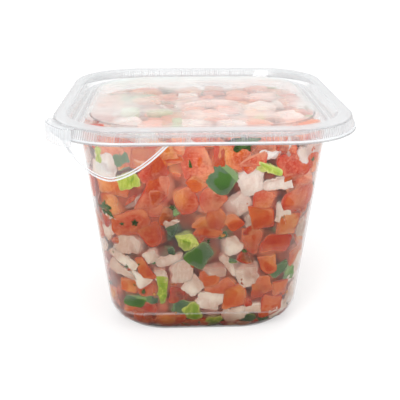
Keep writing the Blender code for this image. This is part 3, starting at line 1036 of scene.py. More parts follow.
def oval_outline(angles, half_width, half_height, turn):
    across = np.cos(angles - turn) / half_width
    upward = np.sin(angles - turn) / half_height
    return (across ** 2 + upward ** 2) ** -0.5


def leaf_outline(angles, half_width, half_height, turn, draw):
    """Lobed outline of a cilantro leaf."""
    lobes = 0.28 * np.cos(5 * angles - draw.uniform(0, math.tau))
    notches = 0.12 * np.cos(11 * angles - draw.uniform(0, 6))
    return oval_outline(angles, half_width, half_height, turn) * (1 + lobes + notches)


def piece_outline(kind, half_width, half_height, turn, detail, draw):
    angles = np.linspace(0, math.tau, DETAILS[detail][0], endpoint=False)
    if kind == "leaf":
        return leaf_outline(angles, half_width, half_height, turn, draw)
    if kind == "seed":
        return oval_outline(angles, half_width, half_height, turn)
    return cut_outline(angles, half_width, half_height, turn, kind, draw)


def block(outline, depth, dome, rings):
    """Points of a block with a slightly domed face, and each one's share of the way to the rim."""
    angles = np.linspace(0, math.tau, len(outline), endpoint=False)
    shares = np.array([share for share, _ in rings])
    levels = np.array([level for _, level in rings])
    heights = (levels - 1) * depth - dome * shares ** 3 * levels
    x = np.outer(shares, outline * np.cos(angles)).ravel()
    y = np.outer(shares, outline * np.sin(angles)).ravel()
    z = np.repeat(heights, len(outline))
    points = np.vstack([np.stack([x, y, z], 1), [[0, 0, 0], [0, 0, -depth]]])
    return points, np.concatenate([np.repeat(shares, len(outline)), [0, 0]])


def block_faces(count, rows):
    """Corner numbers of a block's faces: quads between its rings, triangles at its two middles."""
    ring = np.arange(count)
    after = (ring + 1) % count
    quads = []
    for row in range(rows - 1):
        here, below = row * count, (row + 1) * count
        quads.append(np.stack([here + ring, below + ring, below + after, here + after], 1))
    front, back = rows * count, rows * count + 1
    last = (rows - 1) * count
    faces = [np.stack([np.full(count, front), ring, after], 1),
             np.stack([np.full(count, back), last + after, last + ring], 1)]
    return np.vstack(quads), np.vstack(faces)


def fold(points, draw):
    """Turns one side of a piece away from the wall, as a second cut leaves it; gives how far each point is past
    the cut's edge, in mm, and how far that side looks up."""
    angle = draw.uniform(0, math.tau)
    along = points[:, 0] * math.cos(angle) + points[:, 1] * math.sin(angle)
    past = along - draw.uniform(-0.15, 0.5) * along.max()
    slope = draw.uniform(*FOLD_SLOPES) * min(1, FOLD_LENGTH / along.max())
    moved = points.copy()
    moved[:, 2] -= slope * np.maximum(past, 0)
    return moved, past / MM, math.sin(angle)


def random_wave(points, lengths, draw):
    """A wave through space, in any direction, at each of the points."""
    wave = draw.normal(size=3)
    wave *= math.tau / draw.uniform(*lengths) / np.linalg.norm(wave)
    return np.sin(points @ wave + draw.uniform(0, math.tau))


def crumple(points, size, draw):
    """Small waves that break up a face."""
    moved = points.copy()
    for _ in range(3):
        moved += np.outer(random_wave(points, CRUMPLE_LENGTHS, draw), draw.normal(size=3)) * size / 2
    return moved


class Heap:
    """Gathers the pieces of one kind, and makes them one mesh that carries its paint's values on its points."""

    def __init__(self, name, material):
        self.name = name
        self.material = material
        self.points, self.quads, self.triangles, self.places = [], [], [], []
        self.values = {}
        self.total = 0

    def add(self, points, local, values, faces):
        self.points.append(points)
        self.places.append(local)
        self.quads.append(faces[0] + self.total)
        self.triangles.append(faces[1] + self.total)
        for name, value in values.items():
            self.values.setdefault(name, []).append(np.broadcast_to(value, len(points)))
        self.total += len(points)

    def make(self):
        faces = np.vstack(self.quads).tolist() + np.vstack(self.triangles).tolist()
        made = mesh_piece(self.name, np.vstack(self.points), faces, self.material)
        for name, parts in self.values.items():
            keep_on_points(made, name, np.concatenate(parts))
        layer = made.data.attributes.new("place", "FLOAT_VECTOR", "POINT")
        layer.data.foreach_set("vector", np.vstack(self.places).astype(np.float32).ravel())
        return made


def place_piece(heaps, draw, kind, spot, outline, tone, tilt, push, detail):
    """Builds one piece at a spot, tilts it, presses it into the room and adds it to its heap."""
    depth, dome, _, waves, bow = KINDS[kind]
    centre, across, up, outward = spot
    rings = DETAILS[detail][1]
    local, rims = block(outline, depth * draw.uniform(0.85, 1.15), dome, rings)
    bend, _ = draw.normal(0, 1, 2) * bow
    local[:, 2] -= bow * 0.5 * (local[:, 0] ** 2 + local[:, 1] ** 2)
    local[:, 0] += bend * local[:, 1] ** 2
    facet, lift = -1.0, 0.0
    if draw.random() < FOLDED[kind]:
        local, facet, lift = fold(local, draw)
    shaped = crumple(local, waves, draw)
    turned = shaped @ np.array(Matrix.Rotation(tilt[0], 3, "X") @ Matrix.Rotation(tilt[1], 3, "Y")).T
    pressed = np.clip(0.5 + push / MM * 0.5 + draw.uniform(-0.1, 0.1), 0, 1)
    reach = REACH_LOW + (REACH_HIGH - REACH_LOW) * pressed
    world, touch, off = press(centre + turned @ np.array([across, up, outward]) + outward * push, reach)
    on_top = outward[2] > 0.9
    lit_depth = LIT_DEPTH_ON_TOP if on_top else LIT_DEPTH_ON_WALL
    lit = np.clip((world[:, 2] - ceiling_over(world) + lit_depth) / LIT_BLUR, 0, 1)
    if on_top:
        lit *= np.clip(-(wall_distance(world)[0] + LIT_CLEAR) / LIT_BLUR, 0, 1)
    values = {"touch": touch, "off": off, "tone": tone, "rim": rims, "height": world[:, 2], "facet": facet,
              "lift": lift, "lit": lit}
    heaps[kind].add(world, shaped + draw.uniform(-0.1, 0.1, 3), values, block_faces(len(outline), len(rings)))


# The pieces that show on the front, placed by the photograph: kind, pixel across and down,
# width and height in millimetres, turn in degrees, tone from 0 to 1, and push against the wall in millimetres
FRONT = (
    ("tomato", 194, 167, 11.5, 15, 14, 0.44, 0.3), ("tomato", 164, 192, 11, 22, -36, 0.28, 0.3),
    ("tomato", 154, 174, 11, 6.5, 30, 0.28, 0.6), ("tomato", 140, 154, 12, 6, -10, 0.52, 0.1),
    ("tomato", 167, 155, 8, 8, 10, 0.78, 0.4), ("tomato", 181, 150, 6, 5, 0, 0.6, 0.3),
    ("tomato", 230, 157, 12, 9, -15, 0.70, 0.2), ("leaf", 240, 143, 11, 6, 5, 0.5, 0.6),
    ("tomato", 249, 156, 9, 7, 0, 0.5, 0.5), ("onion", 265, 156, 9.5, 4, 5, 0.7, 0.4),
    ("rib", 266, 169, 3.6, 10, 65, 0.8, 0.6), ("tomato", 281, 153, 6, 6, 0, 0.15, 0.1),
    ("tomato", 292, 167, 11, 11, 20, 0.24, 0.2), ("onion", 297, 159, 4, 8, 15, 0.6, 0.5),
    ("onion", 309, 150, 10, 6, 5, 0.4, 0.3), ("tomato", 311, 163, 6, 8, 0, 0.9, 0.2),
    ("pepper", 221, 179, 11, 11, 40, 0.2, 0.75), ("onion", 249, 183, 10, 11, 8, 0.5, 0.2),
    ("onion", 274, 184, 12, 5, 12, 0.5, 0.4), ("tomato", 296, 184, 12, 8, 15, 0.14, 0.0),
    ("tomato", 297, 198, 13, 10, 28, 0.35, 0.3), ("onion", 237, 205, 10.5, 10, 30, 0.25, -0.3),
    ("onion", 248, 224, 3, 9, 5, 0.4, 0.1),
    ("tomato", 263, 201, 9, 8, 0, 0.45, 0.2), ("tomato", 262, 218, 9, 9, 0, 0.62, 0.9),
    ("onion", 281, 213, 6, 10, 10, 0.6, 0.2), ("tomato", 287, 228, 8, 11, 0, 0.96, 0.1),
    ("onion", 304, 221, 6, 9, -10, 0.15, -0.4), ("tomato", 302, 236, 8, 7, 20, 0.95, 0.1),
    ("tomato", 186, 201, 9, 10, 20, 0.60, 0.2), ("tomato", 207, 201, 11, 11, 60, 0.4, 0.0),
    ("tomato", 202, 222, 6, 6, 0, 0.75, 0.3), ("tomato", 217, 220, 9, 8, 30, 0.62, 0.1),
    ("tomato", 233, 222, 5, 7, 30, 0.8, 0.9), ("tomato", 209, 234, 10, 5.5, -20, 0.78, 0.5),
    ("tomato", 189, 221, 12, 8, 0, 0.0, -0.9), ("pepper", 228, 232, 7, 6, 0, 0.0, -0.9),
    ("onion", 231, 247, 9, 8, 20, 0.7, 0.1), ("tomato", 252, 244, 7, 11, 0, 0.18, 0.3),
    ("tomato", 275, 247, 10, 9, 0, 0.44, 0.1), ("tomato", 296, 252, 8, 8, 10, 0.48, 0.1),
    ("tomato", 270, 264, 6, 8, 10, 0.78, 0.5), ("pepper", 283, 269, 9, 5, 35, 0.15, 0.3),
    ("pepper", 292, 270, 4.5, 9, 0, 0.75, 0.4), ("onion", 249, 276, 9, 12, 10, 0.45, 0.0),
    ("onion", 230, 264, 12, 4, -38, 0.65, 0.3), ("onion", 214, 271, 11, 5.5, 10, 0.35, 0.0),
    ("pepper", 200, 256, 9, 12, -40, 0.45, 0.7), ("rib", 187, 241, 7, 8, 30, 0.2, 0.5),
    ("pepper", 175, 236, 6, 9, 0, 0.05, -0.8), ("tomato", 155, 232, 10, 11, 20, 0.66, 0.2),
    ("tomato", 131, 224, 13, 10, 10, 0.50, 0.3), ("pepper", 169, 214, 7, 5, 30, 0.0, -2.4),
    ("onion", 171, 222, 6, 3.5, 35, 0.5, 0.2), ("onion", 137, 203, 7, 9, 0, 0.1, -0.5),
    ("tomato", 117, 205, 9, 9, 20, 1.0, 0.2), ("tomato", 115, 188, 12, 7, 0, 0.85, 0.1),
    ("rib", 132, 181, 8, 7, 20, 0.85, 0.6), ("pepper", 128, 162, 8, 7, 20, 0.5, 0.2),
    ("rib", 106, 154, 3, 8, -15, 0.9, 0.5), ("tomato", 118, 153, 8, 6, 0, 0.5, 0.2),
    ("onion", 95, 161, 9, 9, 0, 0.6, 0.3), ("onion", 110, 171, 11, 6, -20, 0.65, 0.4),
    ("leaf", 102, 206, 10, 6, -45, 0.4, 0.3), ("onion", 112, 217, 8, 3.5, -35, 0.6, 0.3),
    ("onion", 107, 230, 6, 7, -50, 0.5, 0.3), ("onion", 134, 245, 14, 8, -5, 0.15, 0.1),
    ("onion", 121, 258, 13, 4.5, -34, 0.8, 0.5), ("onion", 119, 270, 13, 4.5, -25, 0.8, 0.4),
    ("onion", 136, 280, 10, 6, -36, 0.9, 0.4), ("tomato", 141, 268, 4, 11, 25, 0.72, 0.4),
    ("onion", 151, 257, 6, 6, 20, 0.7, 0.0), ("pepper", 152, 262, 4, 4, 0, 0.5, -0.6),
    ("onion", 169, 261, 12, 5, 10, 0.9, 0.3), ("pepper", 169, 252, 5, 5, 0, 0.1, 0.0),
    ("onion", 180, 273, 10, 10, 10, 0.8, 0.2), ("onion", 193, 287, 8, 9, -45, 0.75, 0.3),
    ("onion", 158, 275, 5, 6, 0, 0.5, 0.0), ("rib", 161, 293, 3.6, 16, -4, 0.4, 0.8),
    ("tomato", 127, 285, 8, 6, 0, 0.90, 0.4), ("tomato", 144, 289, 7, 7, 0, 0.35, 0.0),
    ("pepper", 131, 299, 9, 6, -10, 0.35, 0.4), ("pepper", 149, 300, 6, 4, 0, 0.1, 0.1),
    ("tomato", 182, 293, 11, 9, 0, 0.0, -0.5), ("pepper", 178, 307, 12, 7, -15, 0.2, 0.2),
    ("rib", 192, 312, 6, 9, 35, 0.15, 0.6), ("onion", 208, 301, 11, 9, -15, 0.85, 0.5),
    ("tomato", 210, 279, 8, 7, 0, 0.84, 0.3), ("tomato", 225, 289, 11, 8, 32, 0.44, 0.2),
    ("tomato", 238, 296, 9, 9, 10, 0.84, 0.6), ("tomato", 269, 290, 10, 9, 0, 0.60, 0.3),
    ("tomato", 275, 305, 8, 10, 0, 0.45, 0.5), ("tomato", 283, 287, 6, 6, 0, 0.5, 0.3),
    ("onion", 294, 268, 8, 17, -8, 1.0, 0.3), ("onion", 291, 292, 9, 14, -12, 1.0, 0.3),
    ("onion", 284, 307, 9, 7, 35, 1.0, 0.3), ("onion", 238, 314, 11, 7, 0, 0.6, 0.4),
    ("onion", 257, 307, 7, 5, 0, 0.5, 0.3), ("tomato", 222, 306, 7, 7, 0, 0.0, -0.8),
    ("tomato", 157, 320, 8, 6, 0, 0.70, 0.4), ("tomato", 142, 308, 9, 5, 0, 0.15, 0.2),
    ("tomato", 172, 321, 6, 6, 0, 0.62, 0.3), ("pepper", 256, 318, 8, 4, 0, 0.0, 0.3),
    ("rib", 218, 321, 7, 4, 5, 0.2, 0.5), ("tomato", 186, 322, 8, 4, 0, 0.2, 0.2),
    ("tomato", 205, 323, 6, 4, 0, 0.6, 0.3), ("tomato", 236, 323, 8, 4, 0, 0.1, 0.3),
    ("tomato", 116, 295, 6, 6, 0, 0.95, 0.4), ("tomato", 127, 309, 7, 5, -30, 0.8, 0.4),
    ("tomato", 197, 184, 5, 6, 45, 1.00, 0.9), ("tomato", 147, 163, 5, 4, 20, 0.95, 0.5),
    ("onion", 103, 244, 7, 9, -40, 0.8, 0.4), ("onion", 106, 286, 6, 9, -20, 0.6, 0.3),
    ("tomato", 152, 212, 12, 8, 0, 0.22, -0.2), ("tomato", 177, 216, 10, 7, 0, 0.04, -0.5),
    ("tomato", 158, 199, 4, 7, -12, 0.32, 1.0), ("leaf", 123, 224, 1.8, 1.4, 0, 0.2, 0.7),
    ("leaf", 136, 223, 2.4, 2.8, 20, 0.1, 0.7), ("leaf", 191, 164, 1.0, 3.0, 10, 0.8, 0.9),
    ("pepper", 280, 234, 5, 6, 20, 0.0, -1.2), ("pepper", 236, 258, 6, 5, 0, 0.0, -1.8),
    ("onion", 300, 226, 4, 10, -8, 0.6, 0.2), ("tomato", 262, 286, 9, 9, 20, 0.3, 0.1),
)

# Seeds of the front's own pieces and of the sown ones: each piece has its own draw, so that it keeps its shape
FRONT_SEED = 15
SOWN_SEED = 7
FRONT_SCALES = {"tomato": 1.22 * MM, "onion": 1.08 * MM, "pepper": 1.12 * MM, "rib": 1.06 * MM, "leaf": MM}
FRONT_HALF = 50 * MM
FILLER_PUSH = (-2.0 * MM, -0.9 * MM)
FILLER_TOMATO = 0.94
SET_BACK = -0.35 * MM
THIN_PUSH = 0.3 * MM
SPACING = 0.3

# Pitch of each sowing of the walls, the room that a piece needs, its size and its push
SOWINGS = (
    (9.0 * MM, 4.6 * MM, 1.2, (-0.3 * MM, 0.5 * MM)),
    (8.0 * MM, 3.2 * MM, 1.15, (-1.8 * MM, -0.7 * MM)),
    (6.0 * MM, 2.4 * MM, 1.05, (-2.8 * MM, -1.6 * MM)),
    (5.0 * MM, 2.0 * MM, 0.5, (-1.0 * MM, 0.1 * MM)),
)
SOW_FROM = 2.5 * MM
SOW_TO = FILL_TOP + 1 * MM
TOMATO_TONES = (0.1, 0.3, 0.42, 0.5, 0.58, 0.66, 0.8, 0.92)

# Share up to which each kind is sown, its widths and heights in millimetres and its tones
MIXTURE = (
    (0.52, "tomato", (8, 13), (7.5, 12), None),
    (0.84, "onion", (6, 13), (4.5, 9.5), (0.1, 1)),
    (0.93, "pepper", (5, 12), (4, 9), (0, 0.8)),
    (0.97, "rib", (3, 4.5), (8, 14), (0.3, 1)),
    (1.0, "leaf", (5, 10), (4, 7), (0, 1)),
)


def wrapped(distance):
    """The shorter way round the wall."""
    return (distance + ROUND / 2) % ROUND - ROUND / 2


def taper(height):
    return room_at(height)[0] / MID_HALF


def has_room(rows, around, height, distance):
    """Whether a place on the wall keeps its distance from all the pieces so far."""
    places = np.array([row[1:5] for row in rows])
    gaps = np.hypot(wrapped(places[:, 0] - around) * taper(height), places[:, 1] - height)
    return np.all(gaps > distance + SPACING * (places[:, 2] + places[:, 3]))


def random_kind(draw):
    """Kind, width, height and tone of a piece, in the proportions of the photograph."""
    pick = draw.random()
    kind, widths, heights, tones = next(row[1:] for row in MIXTURE if pick < row[0])
    width, height = draw.uniform(*widths) * MM, draw.uniform(*heights) * MM
    return kind, width, height, draw.uniform(*tones) if tones else draw.choice(TOMATO_TONES)


def behind_front(draw):
    """Kind, width, height and tone of a piece that fills in behind the front's own pieces."""
    kind = "tomato" if draw.random() < FILLER_TOMATO else "onion"
    return kind, draw.uniform(8, 12) * MM, draw.uniform(7, 10) * MM, max(draw.uniform(-0.35, 0.6), 0)


def sow_walls(draw):
    """The front's own pieces, then pieces in rows round all the walls wherever there is room.

    Each row gives kind, distance round the wall, height, half sizes, turn, tone, push and detail.
    """
    rows = []
    for kind, x, y, width, tall, turn, tone, push in FRONT:
        around, height = seen_on_wall(x, y)
        scale = FRONT_SCALES[kind] / 2
        halves = (width * scale, tall * scale)
        rows.append((kind, around, height, *halves, math.radians(turn), tone, push * MM, "fine"))
    for pitch, room, scale, pushes in SOWINGS:
        for height in np.arange(SOW_FROM, SOW_TO, pitch / 2):
            count = int(ROUND * taper(height) / pitch * 2)
            for i in range(count):
                around = wrapped((i + draw.uniform(-0.4, 0.4)) / count * ROUND)
                level = height + draw.uniform(-0.15, 0.15) * pitch
                if has_room(rows, around, level, room):
                    in_front = abs(around) < FRONT_HALF
                    kind, width, tall, tone = behind_front(draw) if in_front else random_kind(draw)
                    push = draw.uniform(*(FILLER_PUSH if in_front else pushes))
                    halves = (width * scale / 2, tall * scale / 2)
                    rows.append((kind, around, level, *halves, draw.uniform(-1.5, 1.5), tone, push, "plain"))
    return rows


def wall_pieces(heaps, draw):
    """The outer layer: pieces on the wall itself, and pieces a little behind them that show in between."""
    for number, row in enumerate(sow_walls(draw)):
        kind, around, height, half_width, half_height, turn, tone, push, detail = row
        seed = (FRONT_SEED, number) if number < len(FRONT) else (SOWN_SEED, number - len(FRONT))
        own_draw = np.random.default_rng(seed)
        outline = piece_outline(kind, half_width, half_height, turn, detail, own_draw)
        tilt = own_draw.normal(0, 0.09 if push > SET_BACK else 0.3, 2)
        if kind in ("leaf", "rib"):
            push += THIN_PUSH
        place_piece(heaps, own_draw, kind, wall_frame(around, height), outline, tone, tilt, push, detail)


FOOT_PITCH = 5 * MM
FOOT_HEIGHTS = (1.6 * MM, 3.4 * MM)
FOOT_HALF_HEIGHT = 1.8 * MM
FOOT_WIDTH_SHARE = 0.45


def foot_pieces(heaps, draw):
    """Pieces along the foot, down to the base."""
    for height in FOOT_HEIGHTS:
        count = int(ROUND * taper(height) / FOOT_PITCH)
        for i in range(count):
            around = (i + draw.uniform(-0.3, 0.3)) / count * ROUND
            kind, width, _, tone = random_kind(draw)
            turn = draw.uniform(-0.2, 0.2)
            outline = piece_outline(kind, width * FOOT_WIDTH_SHARE, FOOT_HALF_HEIGHT, turn, "plain", draw)
            tilt = draw.normal(0, 0.1, 2)
            push = draw.uniform(-0.4, 0.3) * MM
            place_piece(heaps, draw, kind, wall_frame(around, height), outline, tone, tilt, push, "plain")


WALL_BITS = 90
SEED_SHARE = 0.15
BIT_SIZES = {"seed": (0.5, 0.9), "leaf": (0.4, 1.1)}
BIT_PUSH = 0.25 * MM


def wall_bits(heaps, draw):
    """Seeds and flecks of leaf on the wall."""
    for _ in range(WALL_BITS):
        around = draw.uniform(0, ROUND)
        height = draw.uniform(3 * MM, FILL_TOP)
        kind = "seed" if draw.random() < SEED_SHARE else "leaf"
        size = draw.uniform(*BIT_SIZES[kind]) * MM
        outline = piece_outline(kind, size * draw.uniform(1.3, 1.9), size, draw.uniform(-1.5, 1.5), "bit", draw)
        tone = draw.uniform(0, 0.8)
        tilt = draw.normal(0, 0.1, 2)
        place_piece(heaps, draw, kind, wall_frame(around, height), outline, tone, tilt, BIT_PUSH, "bit")


TOP_FALL = 3.5 * MM
TOP_SIZE = 1.4
TOP_SWAPS = 0.3
UPWARD = (np.array([1.0, 0, 0]), np.array([0, 1.0, 0]), np.array([0, 0, 1.0]))
DOWNWARD = (np.array([1.0, 0, 0]), np.array([0, -1.0, 0]), np.array([0, 0, -1.0]))


def top_kind(draw):
    """Kind, width, height and tone of a piece on the top, where more onion and green shows."""
    kind, width, tall, tone = random_kind(draw)
    if kind == "tomato" and draw.random() < TOP_SWAPS:
        kind = draw.choice(["onion", "onion", "pepper", "rib"])
    return kind, width * TOP_SIZE, tall * TOP_SIZE, 0.35 + 0.65 * tone


# The pieces that show on the top, placed by the photograph: kind, pixel across and down, width and depth in
# millimetres, turn in degrees and tone
TOP = (
    ("onion", 128, 119, 11, 15, 20, 1.0), ("onion", 231, 119, 12, 15, 0, 1.0),
    ("onion", 208, 99, 30, 4, 3, 0.75), ("pepper", 130, 108, 9, 11, 0, 0.95),
    ("pepper", 160, 108, 11, 9, 10, 0.9), ("pepper", 177, 120, 4, 16, 5, 0.9),
    ("tomato", 236, 89, 11, 8, 0, 0.65), ("rib", 123, 94, 3, 9, 0, 0.2), ("leaf", 284, 94, 11, 9, -10, 0.3),
    ("onion", 262, 103, 11, 13, 30, 0.9), ("onion", 188, 93, 10, 9, 0, 0.95),
    ("onion", 288, 112, 10, 15, 10, 0.9), ("tomato", 112, 100, 12, 10, 0, 0.5),
    ("tomato", 146, 97, 14, 11, 10, 0.45), ("tomato", 168, 94, 9, 8, 0, 0.4),
    ("tomato", 262, 94, 12, 8, 0, 0.55), ("tomato", 205, 112, 14, 14, 30, 0.55),
    ("tomato", 149, 121, 10, 12, 0, 0.5), ("onion", 108, 112, 9, 11, 0, 0.9),
    ("onion", 193, 120, 9, 10, 0, 0.8), ("tomato", 255, 117, 12, 13, 0, 0.6),
)
TOP_SEED = 24
TOP_SINK = 1.0 * MM
SIGHT_ROUNDS = 3

# Seed of the pieces in the levels, the height above which the wall is measured at its top, and the margins
LEVEL_SEED = 24
LEVEL_TOP = 88 * MM
LEVEL_MARGIN = 2.5 * MM
BESIDE_WALL = 9 * MM

# Each level of pieces: height, rise, pitch in tenths of a millimetre, directions, tilt and fall to the back
LEVELS = (
    (90.2 * MM, 1.0 * MM, 105, UPWARD, 0.2, TOP_FALL),
    (88.0 * MM, 1.0 * MM, 90, UPWARD, 0.25, TOP_FALL),
    (TUB_SHEET, 0.3 * MM, 85, DOWNWARD, 0.1, 0.0),
)


def top_pieces(heaps):
    """The top's own pieces, laid flat just under the panel."""
    draw = np.random.default_rng(TOP_SEED)
    for kind, x, y, width, deep, turn, tone in TOP:
        start, aim = sight_line(x, y)
        place = np.array(start)
        for _ in range(SIGHT_ROUNDS):
            surface = ceiling_over(place[None])[0] - TOP_SINK
            place = np.array(start + aim * ((surface - start.z) / aim.z))
        outline = piece_outline(kind, width / 2 * MM, deep / 2 * MM, math.radians(turn), "fine", draw)
        place_piece(heaps, draw, kind, (place, *UPWARD), outline, tone, draw.normal(0, 0.08, 2), 0.0, "fine")


def level_pieces(heaps, height, rise, tenths, axes, tilt, fall):
    """Pieces that lie on the top of the heap, which falls towards the back, or against the base."""
    draw = np.random.default_rng((LEVEL_SEED, tenths))
    pitch = tenths / 10 * MM
    reach = room_at(height)[0]
    count = int(2 * reach / pitch) + 1
    for row in range(count):
        for column in range(count):
            x = -reach + (row + draw.uniform(-0.3, 0.3)) * pitch
            y = -reach + (column + 0.5 * (row % 2) + draw.uniform(-0.3, 0.3)) * pitch
            distance = wall_distance(np.array([[x, y, min(height, LEVEL_TOP)]]))[0][0]
            if distance > -LEVEL_MARGIN:
                continue
            kind, width, tall, tone = top_kind(draw) if fall else random_kind(draw)
            if fall and distance > -BESIDE_WALL:
                kind = "tomato"
            outline = piece_outline(kind, width / 2, tall / 2, draw.uniform(-1.5, 1.5), "plain", draw)
            centre = np.array([x, y, height - fall * (y / reach + 1) / 2 + draw.uniform(-rise, rise)])
            spot = (centre, *axes)
            place_piece(heaps, draw, kind, spot, outline, tone, draw.normal(0, tilt, 2), 0.0, "plain")


# The pulp behind the pieces, and the film of juice before them
LUMPS = 12
LUMP_LENGTHS = (6 * MM, 14 * MM)
CORNER_INSET = 0.6
PULP_HEIGHTS = (1.2 * MM, 87 * MM)
PULP_INSET = 1.2 * MM
PULP_DEPTH = 3.2 * MM
PULP_POINTS = 400
PULP_ROWS = 90
FILM_HEIGHTS = (0.9 * MM, 88 * MM)
FILM_INSET = 0.4 * MM
FILM_WAVES = 0.3 * MM
FILM_SHEET = 0.1 * MM
FILM_POINTS = 260
FILM_ROWS = 50


def lumps(points, draw):
    """Smooth random lumps over points, from 0 to 1."""
    total = sum(random_wave(points, LUMP_LENGTHS, draw) for _ in range(LUMPS))
    return np.clip(0.5 + total / 7, 0, 1)


def inside_wall(heights, rows, inset, count):
    """Points of rings a little inside the wall, and the direction outward at each."""
    points, outward = [], []
    for height in np.linspace(*heights, rows):
        half, radius = room_at(height)
        ring, out = dense_square(half - inset, radius - inset * CORNER_INSET, height, count)
        points.append(ring)
        outward.append(out)
    return np.vstack(points), np.vstack(outward)


def make_core(material, draw):
    """The pulp and juice behind the pieces, painted dark as the shade between them, close to the wall in some
    places and deep in others.
    """
    points, outward = inside_wall(PULP_HEIGHTS, PULP_ROWS, PULP_INSET, PULP_POINTS)
    depth = lumps(points, draw) * PULP_DEPTH
    rings = np.split(points - outward * depth[:, None], PULP_ROWS)
    return loft("heap_core", rings, material, cap_first=True, cap_last=True)


def make_juice(material, draw):
    """Thin film of juice just inside the wall; what presses on the wall comes through it."""
    points, outward = inside_wall(FILM_HEIGHTS, FILM_ROWS, FILM_INSET, FILM_POINTS)
    points -= outward * FILM_WAVES * 0.5
    waves = (lumps(points, draw) - 0.5) * FILM_WAVES
    flat = points[:, :2] / np.linalg.norm(points[:, :2], axis=1)[:, None]
    points[:, :2] += flat * waves[:, None]
    film = loft("juice_film", np.split(points, FILM_ROWS), material)
    thicken(film, FILM_SHEET)
    return film


FILLING_SEED = 41


def make_filling():
    """All the vegetables with their pulp and juice."""
    draw = np.random.default_rng(FILLING_SEED)
    heaps = {
        "tomato": Heap("tomato_pieces", tomato_paint()),
        "onion": Heap("onion_pieces", onion_paint()),
        "pepper": Heap("green_pepper_pieces", pepper_paint()),
        "rib": Heap("pale_green_strips", pith_paint()),
        "leaf": Heap("cilantro_leaves", leaf_paint()),
        "seed": Heap("tomato_seeds", seed_paint()),
    }
    wall_pieces(heaps, draw)
    foot_pieces(heaps, draw)
    wall_bits(heaps, draw)
    top_pieces(heaps)
    for level in LEVELS:
        level_pieces(heaps, *level)
    pieces = [heap.make() for heap in heaps.values()]
    pieces.append(make_core(core_paint(), draw))
    pieces.append(make_juice(juice_paint(), draw))
    for piece in pieces:
        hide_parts("pico_de_gallo")
    return pieces


# Studio

# Direction of each soft light in degrees, round from the front and up, its strength and its spread in degrees
LIGHTS = {"key_light": (-30, 45, 1.2, 30), "top_light": (160, 70, 0.5, 40), "side_light": (75, 30, 0.25, 40)}
WORLD_STRENGTH = 0.93
FLOOR_HALF = 4.0
FLOOR_GAP = 0.05 * MM


def add_camera():
    camera = bpy.data.cameras.new("camera")
    camera.sensor_width = SENSOR_MM
    camera.lens = FOCAL_PIXELS / FRAME_PIXELS * SENSOR_MM
    camera.clip_start = 10 * MM
    holder = bpy.data.objects.new("camera", camera)
    bpy.context.scene.collection.objects.link(holder)
    holder.location = camera_place()
    holder.rotation_euler = camera_axes()[0].to_track_quat("Z", "Y").to_euler()
    bpy.context.scene.camera = holder


def add_soft_light(name, azimuth, elevation, strength, spread):
    """Large soft light, far off in a direction."""
    light = bpy.data.lights.new(name, "SUN")
    light.energy = strength
    light.angle = math.radians(spread)
    holder = bpy.data.objects.new(name, light)
    bpy.context.scene.collection.objects.link(holder)
    turn, rise = math.radians(azimuth), math.radians(elevation)
    towards = Vector((math.sin(turn) * math.cos(rise), -math.cos(turn) * math.cos(rise), math.sin(rise)))
    holder.rotation_euler = towards.to_track_quat("Z", "Y").to_euler()


def add_floor():
    paint = Paint("white_floor")
    shader = paint.shader("BsdfPrincipled", Base_Color=(0.5, 0.5, 0.5, 1), Roughness=0.8,
                          Specular_IOR_Level=0.0, Emission_Color=WHITE, Emission_Strength=0.5)
    corners = [(x * FLOOR_HALF, y * FLOOR_HALF, 0) for x, y in ((-1, -1), (1, -1), (1, 1), (-1, 1))]
    floor = mesh_piece("floor", corners, [(0, 1, 2, 3)], paint.done(shader))
    floor.location.z = -FLOOR_GAP


def add_world():
    world = bpy.data.worlds.new("studio")
    world.use_nodes = True
    background = world.node_tree.nodes["Background"]
    background.inputs["Color"].default_value = WHITE
    background.inputs["Strength"].default_value = WORLD_STRENGTH
    bpy.context.scene.world = world


def set_studio():
    scene = bpy.context.scene
    scene.view_settings.view_transform = "Standard"
    scene.cycles.use_denoising = True
    scene.cycles.transparent_max_bounces = 32
    add_camera()
    add_world()
    add_floor()
    for name, light in LIGHTS.items():
        add_soft_light(name, *light)


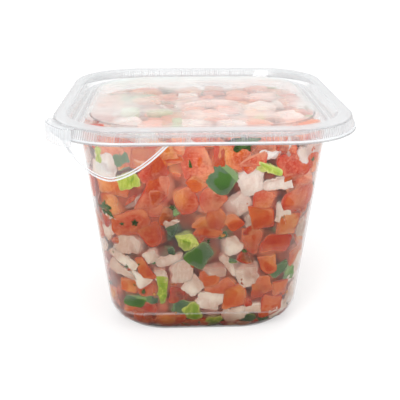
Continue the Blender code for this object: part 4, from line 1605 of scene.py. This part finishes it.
# How each plastic differs from plain clear sheet
PLASTICS = {
    "clear_tub_plastic": {"haze": 0.01, "bloom": 0.3, "edge": 0.3, "shine": 0.006},
    "foot_of_tub_plastic": {"edge": 0.15, "grey": 0.2, "shine": 0.004},
    "edge_of_base_plastic": {"haze": 0.7, "edge": 0.1, "white": 0.1, "shine": 0.004, "tint": BROWN},
    # Painted highlight line along the tub's bend
    "bend_of_tub_plastic": {"haze": 0.2},
    "clear_lid_plastic": {"haze": 0.15, "edge": 0.4, "white": 0.8},
    # The crown is partly hazed and partly painted white as the highlight along its band
    "crown_of_lid_plastic": {"haze": 0.38, "edge": 0.4, "white": 0.84},
    # The bends are painted grey and white as the reflections of their curves
    "bends_of_lid_plastic": {"haze": 0.34, "edge": 0.5, "white": 0.66},
    "fogged_lid_plastic": {"edge": 0.05, "shine": 0.02, "cloud": 0.27, "blur": 0.15, "tint": FOG_TINT},
    "clear_corner_plastic": {"haze": 0.05, "edge": 0.1, "shine": 0.01},
    # Painted dark line along the crease at the panel's front corners
    "dark_crease_plastic": {"haze": 0.4, "edge": 0.5, "white": 0.3},
    "fogged_bend_plastic": {"haze": 0.14, "edge": 0.3, "white": 0.78, "cloud": 0.3, "tint": FOG_TINT},
    "ribbed_skirt_plastic": {"haze": 0.05, "edge": 0.4, "white": 0.8, "ribs": 0.45},
    "ribbed_grip_plastic": {"haze": 0.4, "edge": 0.25, "white": 0.94, "ribs": 0.12},
    "pull_tab_plastic": {"haze": 0.08, "edge": 0.4, "shine": 0.006},
    # Painted white highlight on the lip's roll and along the pull tab
    "bright_roll_plastic": {"haze": 0.85, "edge": 0.3, "white": 1.0},
    # Painted shadow line under the lip's roll
    "grey_edge_plastic": {"haze": 0.42, "edge": 0.6, "grey": 0.3, "white": 0.56},
}

# In the order of WALL, BEND, FOOT and BASE, and of RING to CREASE
TUB_PLASTICS = ("clear_tub_plastic", "bend_of_tub_plastic", "foot_of_tub_plastic", "edge_of_base_plastic")
LID_PLASTICS = ("clear_lid_plastic", "crown_of_lid_plastic", "bends_of_lid_plastic", "fogged_lid_plastic",
                "fogged_bend_plastic", "clear_corner_plastic", "dark_crease_plastic")


def main():
    plastics = {name: clear_plastic(name, **look) for name, look in PLASTICS.items()}
    lid = make_lid([plastics[name] for name in LID_PLASTICS])
    tub = make_tub([plastics[name] for name in TUB_PLASTICS])
    roll = plastics["bright_roll_plastic"]
    on_lid = [lid, make_skirt(plastics["ribbed_skirt_plastic"]), make_lip_bead("lip_bead", roll),
              make_lip_bead("lip_edge", plastics["grey_edge_plastic"]),
              make_pull_tab(plastics["pull_tab_plastic"]),
              make_grip(plastics["ribbed_grip_plastic"], plastics["bends_of_lid_plastic"])]
    on_lid += [make_tab_bead(name, roll) for name in TAB_LINES]
    for piece in on_lid:
        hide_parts("lid")
    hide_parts("tub")
    for piece in [tub, *on_lid, *make_filling()]:
        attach(piece, "root")
    set_studio()


main()
